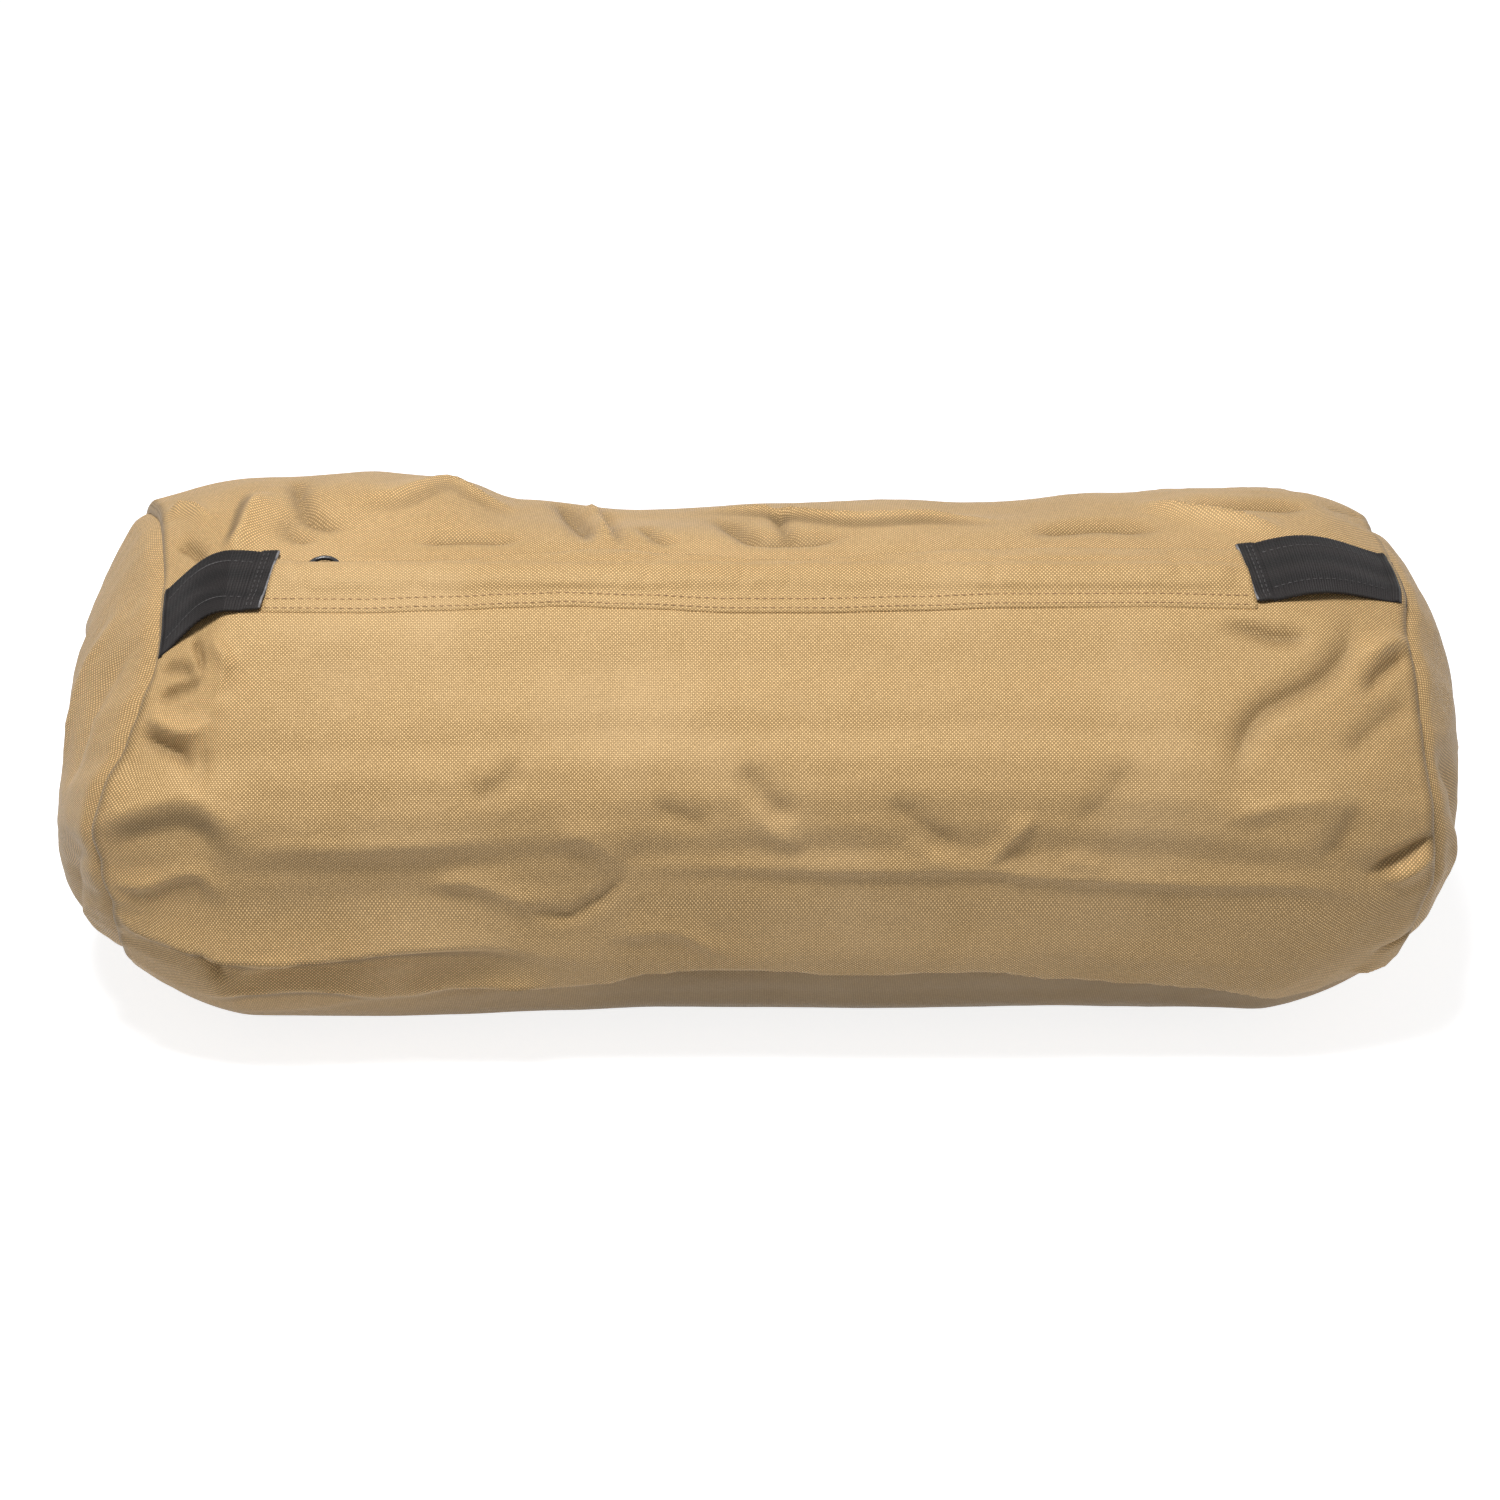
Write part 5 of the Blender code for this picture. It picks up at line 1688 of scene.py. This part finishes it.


# the heat-sealed edge of the folded hem: a thin shiny bead, its light grey a painted highlight
def buildHemBead(name, side):
    bm = bmesh.new()
    bmesh.ops.create_cone(bm, cap_ends=True, segments=8, radius1=1, radius2=1, depth=1)
    lengthwise = [e for e in bm.edges if abs(e.verts[0].co.z - e.verts[1].co.z) > 0.5]
    bmesh.ops.subdivide_edges(bm, edges=lengthwise, cuts=strap["beadCuts"])
    margin = strap["beadMargin"]
    alongRadius, outRadius = strap["beadRadii"]
    for vertex in bm.verts:
        across = min(max(vertex.co.z + 0.5, 0.0), 1.0)
        middle = strapPlace(side, 0.0, margin + (1 - 2 * margin) * across, strap["beadOut"])
        offset = Vector((1, 0, 0)) * vertex.co.x * alongRadius + outwardAt(middle) * vertex.co.y * outRadius
        vertex.co = middle + offset
    bmesh.ops.recalc_face_normals(bm, faces=bm.faces)
    piece = pieceFrom(bm, name, sealedEdgeHighlight)
    piece.data.shade_smooth()
    return piece


for name, side, node in (("left", -1, "grab_strap_left"), ("right", 1, "grab_strap_right")):
    band = buildStrap(f"strap_{name}", side)
    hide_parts(node)
    stitches = buildStrapStitches(f"strap_stitches_{name}", side)
    for piece in (band, stitches, buildHemBead(f"strap_hem_{name}", side)):
        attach(piece, "root")
print("straps sewn")

# sand fillers in a row inside: sewn pouches with a gathered neck, closed by a hook and a loop strip
filler = {
    "count": 3,
    "endMargin": 0.005,
    "gap": 0.003,
    "neck": 0.031,
    "lip": 0.015,
    "clearance": 0.009,
    "settled": 0.0013,  # how far its weight presses it down on the bag's floor
    "endHeight": 0.070,
    "wall": 0.0008,
    "endLength": 0.0593,
    "endPower": 0.5,
    "mouthHalfWidth": 0.068,
    "mouthPower": 6.0,
    "stripThickness": 0.0016,
    "stripHalfWidth": 0.050,
    "skinGap": 0.0030,  # kept from the bag's folds
    "columns": 72,
    "turns": 96,
    "columnPower": 1.6,
    "neckGathers": 31,
    "endGathers": 23,
    "gatherDepth": 0.0016,
    "bulge": 0.0014,
    "neckRise": 0.045,  # the gathers of the neck start this far down the body
    "endGatherRun": (0.004, 0.050),
    "stitchPitch": 0.0046,
    "stitchShare": 0.7,  # of the pitch
    "stitchRadius": 0.00035,
    "stitchRows": (0.0025, 0.0125),  # along the lip
    "stitchedShare": 0.86,  # of the mouth's width
    "stripColumns": 100,
    "stripRows": 15,
    "stripRib": 0.00016,
    "stripRibPitch": 0.004,
    "stripEdge": 0.0003,
    "coreRadius": 0.03,
    "rayStart": 0.02,
    "sandColumns": 64,
    "sandStart": 0.0016,
    "sandInset": 0.0016,
    "sandGrain": 0.0007,
    "slump": ((0.82, 1.0), (0.88, 0.93), (0.925, 0.72), (0.944, 0.38), (0.95, 0.0)),
}
filler["spacing"] = 2 * (bag["halfLength"] - filler["endMargin"]) / filler["count"]
filler["body"] = filler["spacing"] - filler["neck"] - filler["lip"] - filler["gap"]
filler["mouthHalfHeight"] = filler["wall"] + filler["stripThickness"] + 2 * bag["sewnGap"]


# keeps a place inside the finished cloth, measured out from the bag's axis
def insideSkin(spot):
    axis = Vector((spot.x, 0, bag["axisHeight"]))
    away = spot - axis
    if away.length < filler["coreRadius"]:
        return spot
    ray = away.normalized()
    gap = filler["skinGap"] * (0.45 + 0.55 * smoothStep(ray.z, -0.98, -0.85))
    reach, inner = away.length, filler["rayStart"]
    for tree in liningTrees:
        distance = tree.ray_cast(axis + ray * inner, ray)[3]
        if distance is not None:
            reach = min(reach, distance + inner - gap)
    return axis + ray * reach


# a place on a pouch, and the middle there: distance from its closed end, and angle round it as on the bag
def pouchPoint(start, distance, angle):
    body, neck = filler["body"], filler["neck"]
    x = start + distance
    full = math.sin(math.pi / 2 * min(distance / filler["endLength"], 1)) ** filler["endPower"]
    mouth = smoothStep(distance, body, body + neck)
    spot = bagPoint(x, angle, -filler["clearance"])
    across, up = math.cos(angle), math.sin(angle)
    z = spot.z - filler["settled"] * max(-up, 0)
    y = spot.y * full
    z = filler["endHeight"] + (z - filler["endHeight"]) * full
    flat = 2 / filler["mouthPower"]
    slotY = -filler["mouthHalfWidth"] * math.copysign(abs(across) ** flat, across)
    slotZ = filler["mouthHalfHeight"] * math.copysign(abs(up) ** flat, up)
    y += (slotY - y) * mouth
    z += (bag["axisHeight"] + slotZ - z) * mouth
    centre = Vector((x, 0, filler["endHeight"] + (bag["axisHeight"] - filler["endHeight"]) * full))
    away = Vector((x, y, z)) - centre
    bent = angle + 0.10 * roundNoise(x, angle, 20, 2)
    atNeck = smoothStep(distance, body - filler["neckRise"], body + neck * 0.35)
    atNeck *= 1 - smoothStep(distance, body + neck * 0.7, body + neck)
    atEnd = 1 - smoothStep(distance, *filler["endGatherRun"])
    gather = atNeck * (0.5 + 0.5 * math.cos(filler["neckGathers"] * bent))
    gather += 0.7 * atEnd * (0.5 + 0.5 * math.cos(filler["endGathers"] * bent))
    soft = 0.5 + 0.5 * roundNoise(x, angle, 16, 2.4)
    inwards = (filler["gatherDepth"] * gather + filler["bulge"] * soft) * (1 - mouth) * full
    if away.length > 0.004:
        away *= 1 - inwards / away.length
    return insideSkin(centre + away), centre


# a pouch's skin or what fills it, from one distance to another
def pouchShape(start, first, last, columns, inset, shape):
    def reached(s):
        return first + (last - first) * s ** filler["columnPower"]

    def place(s, t):
        angle = 2 * math.pi * t - math.pi / 2
        spot, centre = pouchPoint(start, reached(s), angle)
        away = spot - centre
        if away.length > 0.0001:
            away *= max(1 - inset(s, angle) / away.length, 0.0)
        return centre + away * shape(reached(s))

    def flat(s, t):
        return reached(s), t * 2 * math.pi * bag["radius"]

    bm = clothGrid(columns, filler["turns"], place, flat)
    closeSeams(bm)
    return bm


def turnOutwards(piece):
    facing = sum(p.normal.z * p.area * (p.center.z - bag["axisHeight"]) for p in piece.data.polygons)
    if facing < 0:
        piece.data.flip_normals()
    return piece


def buildPouch(name, start):
    length = filler["body"] + filler["neck"] + filler["lip"]
    bm = pouchShape(start, 0.0, length, filler["columns"], lambda s, angle: 0.0, lambda distance: 1.0)
    return addThickness(turnOutwards(pieceFrom(bm, name, pouchNylon)), filler["wall"], -1)


def buildSand(name, start):
    body = filler["body"]

    def inset(s, angle):
        grain = 0.5 + 0.5 * roundNoise(s, angle, 90, 34)
        return filler["sandInset"] + filler["sandGrain"] * grain

    def shape(distance):
        return runAlong(filler["slump"], distance / body)

    end = filler["slump"][-1][0] * body
    bm = pouchShape(start, filler["sandStart"], end, filler["sandColumns"], inset, shape)
    rims = [e for e in bm.edges if e.is_boundary]
    bmesh.ops.holes_fill(bm, edges=rims)
    bmesh.ops.recalc_face_normals(bm, faces=bm.faces)
    return turnOutwards(pieceFrom(bm, name, drySand))


# a strip along the inside of the mouth: woven ribs on its back, pile towards the other strip
def buildStrip(name, start, side):
    near = start + filler["body"] + filler["neck"]
    half = filler["stripHalfWidth"]
    height = bag["axisHeight"] + side * bag["sewnGap"] / 2

    def place(s, t):
        return Vector((near + filler["lip"] * t, half * (2 * s - 1), height))

    def flat(s, t):
        return 2 * half * s, filler["lip"] * t

    bm = clothGrid(filler["stripColumns"], filler["stripRows"], place, flat)
    bmesh.ops.recalc_face_normals(bm, faces=bm.faces)
    piece = pieceFrom(bm, name, stripPile)
    if sum(p.normal.z for p in piece.data.polygons) * side > 0:
        piece.data.flip_normals()
    piece = addThickness(piece, filler["stripThickness"], -1)
    coords = meshCoords(piece.data)
    backs = np.abs(coords[:, 2] - bag["axisHeight"]) > filler["stripThickness"] * 0.6
    ribs = filler["stripRib"] * (0.5 + 0.5 * np.cos(coords[:, 1] * 2 * math.pi / filler["stripRibPitch"]))
    edges = filler["stripEdge"] * (np.abs(coords[:, 0] - near - filler["lip"] / 2) > filler["lip"] * 0.47)
    coords[:, 2] -= side * backs * (ribs + edges)
    setCoords(piece.data, coords)
    return piece


def buildPouchStitches(name, start):
    bm = bmesh.new()
    places = []
    near = start + filler["body"] + filler["neck"]
    width = filler["stitchedShare"] * filler["mouthHalfWidth"]
    count = int(2 * width / filler["stitchPitch"])
    for side in (-1, 1):
        for along in filler["stitchRows"]:
            for k in range(count):
                y = (k + 0.5 - count / 2) * filler["stitchPitch"]
                z = bag["axisHeight"] + side * filler["mouthHalfHeight"]
                places.append((Vector((near + along, y, z)), Vector((0, 1, 0)), Vector((0, 0, side))))
    stitchRow(bm, places, filler["stitchRadius"], filler["stitchPitch"] * filler["stitchShare"])
    return pieceFrom(bm, name, greyThread)


for number in range(1, filler["count"] + 1):
    start = (number - 1 - filler["count"] / 2) * filler["spacing"]
    pouch = buildPouch(f"pouch_{number}", start)
    stitches = buildPouchStitches(f"pouch_stitches_{number}", start)
    sand = buildSand(f"sand_{number}", start)
    hooks = buildStrip(f"hook_strip_{number}", start, 1)
    loops = buildStrip(f"loop_strip_{number}", start, -1)
    rows = ((pouch, "filler_pouch", "filler_fabric"), (sand, "filler_sand", "sand"),
            (hooks, "filler_hook_strip", "closure_strip"), (loops, "filler_loop_strip", "closure_strip"))
    for piece, node, finish in rows:
        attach(piece, "root")
        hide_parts(f"{node}_{number}")
    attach(stitches, "root")
print("fillers packed")


# floor, lights and camera
studio = {
    "focal": 75.0,
    "distance": 1.7085,
    "elevation": 30.0,
    "target": (-0.0022, 0.0, 0.123),
    "keyPlace": (-0.26, -0.60, 1.95),
    "keySize": (0.55, 0.45),
    "keyPower": 39.5,
    "frontPlace": (0.2, -2.2, 0.7),
    "frontSize": (1.6, 1.2),
    "frontPower": 0.6,
    "rightPlace": (1.9, -0.7, 0.55),
    "rightSize": (0.9, 0.9),
    "rightPower": 3.0,
    "worldStrength": 0.16,
    "floorHalf": 6.0,
    "floorColour": (0.60, 0.615, 0.65),
    "floorRoughness": 0.9,
    "floorSpecular": 0.1,
    "floorGlow": 0.83,  # only what the camera, gloss and glass see
}


def seenDirectly(nodes, links):
    path = nodes.new("ShaderNodeLightPath")
    seen = mathNode(nodes, links, "MAXIMUM", path.outputs["Is Camera Ray"], path.outputs["Is Glossy Ray"])
    seen = mathNode(nodes, links, "MAXIMUM", seen, path.outputs["Is Transmission Ray"])
    return seen


def buildStage():
    bm = bmesh.new()
    bmesh.ops.create_grid(bm, x_segments=1, y_segments=1, size=studio["floorHalf"])
    material, nodes, links, shader = newMaterial("white floor")
    shader.inputs["Base Color"].default_value = (*studio["floorColour"], 1)
    shader.inputs["Roughness"].default_value = studio["floorRoughness"]
    shader.inputs["Specular IOR Level"].default_value = studio["floorSpecular"]
    glow = timesNode(nodes, links, seenDirectly(nodes, links), studio["floorGlow"])
    links.new(glow, shader.inputs["Emission Strength"])
    shader.inputs["Emission Color"].default_value = (1, 1, 1, 1)
    floor = pieceFrom(bm, "studio_floor", material)
    floor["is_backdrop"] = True
    world = bpy.data.worlds.new("studio")
    bpy.context.scene.world = world
    world.use_nodes = True
    nodes, links = world.node_tree.nodes, world.node_tree.links
    background = nodes["Background"]
    background.inputs["Color"].default_value = (1, 1, 1, 1)
    level = timesNode(nodes, links, seenDirectly(nodes, links), 1 - studio["worldStrength"])
    links.new(mathNode(nodes, links, "ADD", level, studio["worldStrength"]), background.inputs["Strength"])


def addLamp(name, place, size, power, towards=(0, 0, 0.1)):
    light = bpy.data.lights.new(name, "AREA")
    light.shape = "RECTANGLE"
    light.size, light.size_y = size
    light.energy = power
    lamp = bpy.data.objects.new(name, light)
    lamp.location = place
    lamp.rotation_euler = (Vector(towards) - Vector(place)).to_track_quat("-Z", "Y").to_euler()
    bpy.context.scene.collection.objects.link(lamp)


def addCamera():
    camera = bpy.data.objects.new("camera", bpy.data.cameras.new("camera"))
    camera.data.lens = studio["focal"]
    camera.data.sensor_width = 36
    slope = math.radians(studio["elevation"])
    target = Vector(studio["target"])
    camera.location = target + Vector((0, -math.cos(slope), math.sin(slope))) * studio["distance"]
    camera.rotation_euler = (target - camera.location).to_track_quat("-Z", "Y").to_euler()
    bpy.context.scene.collection.objects.link(camera)
    bpy.context.scene.camera = camera


buildStage()
addLamp("key softbox", studio["keyPlace"], studio["keySize"], studio["keyPower"])
addLamp("front fill", studio["frontPlace"], studio["frontSize"], studio["frontPower"])
addLamp("right fill", studio["rightPlace"], studio["rightSize"], studio["rightPower"])
addCamera()
bpy.context.scene.view_settings.view_transform = "Standard"
print("stage lit")

low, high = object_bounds()
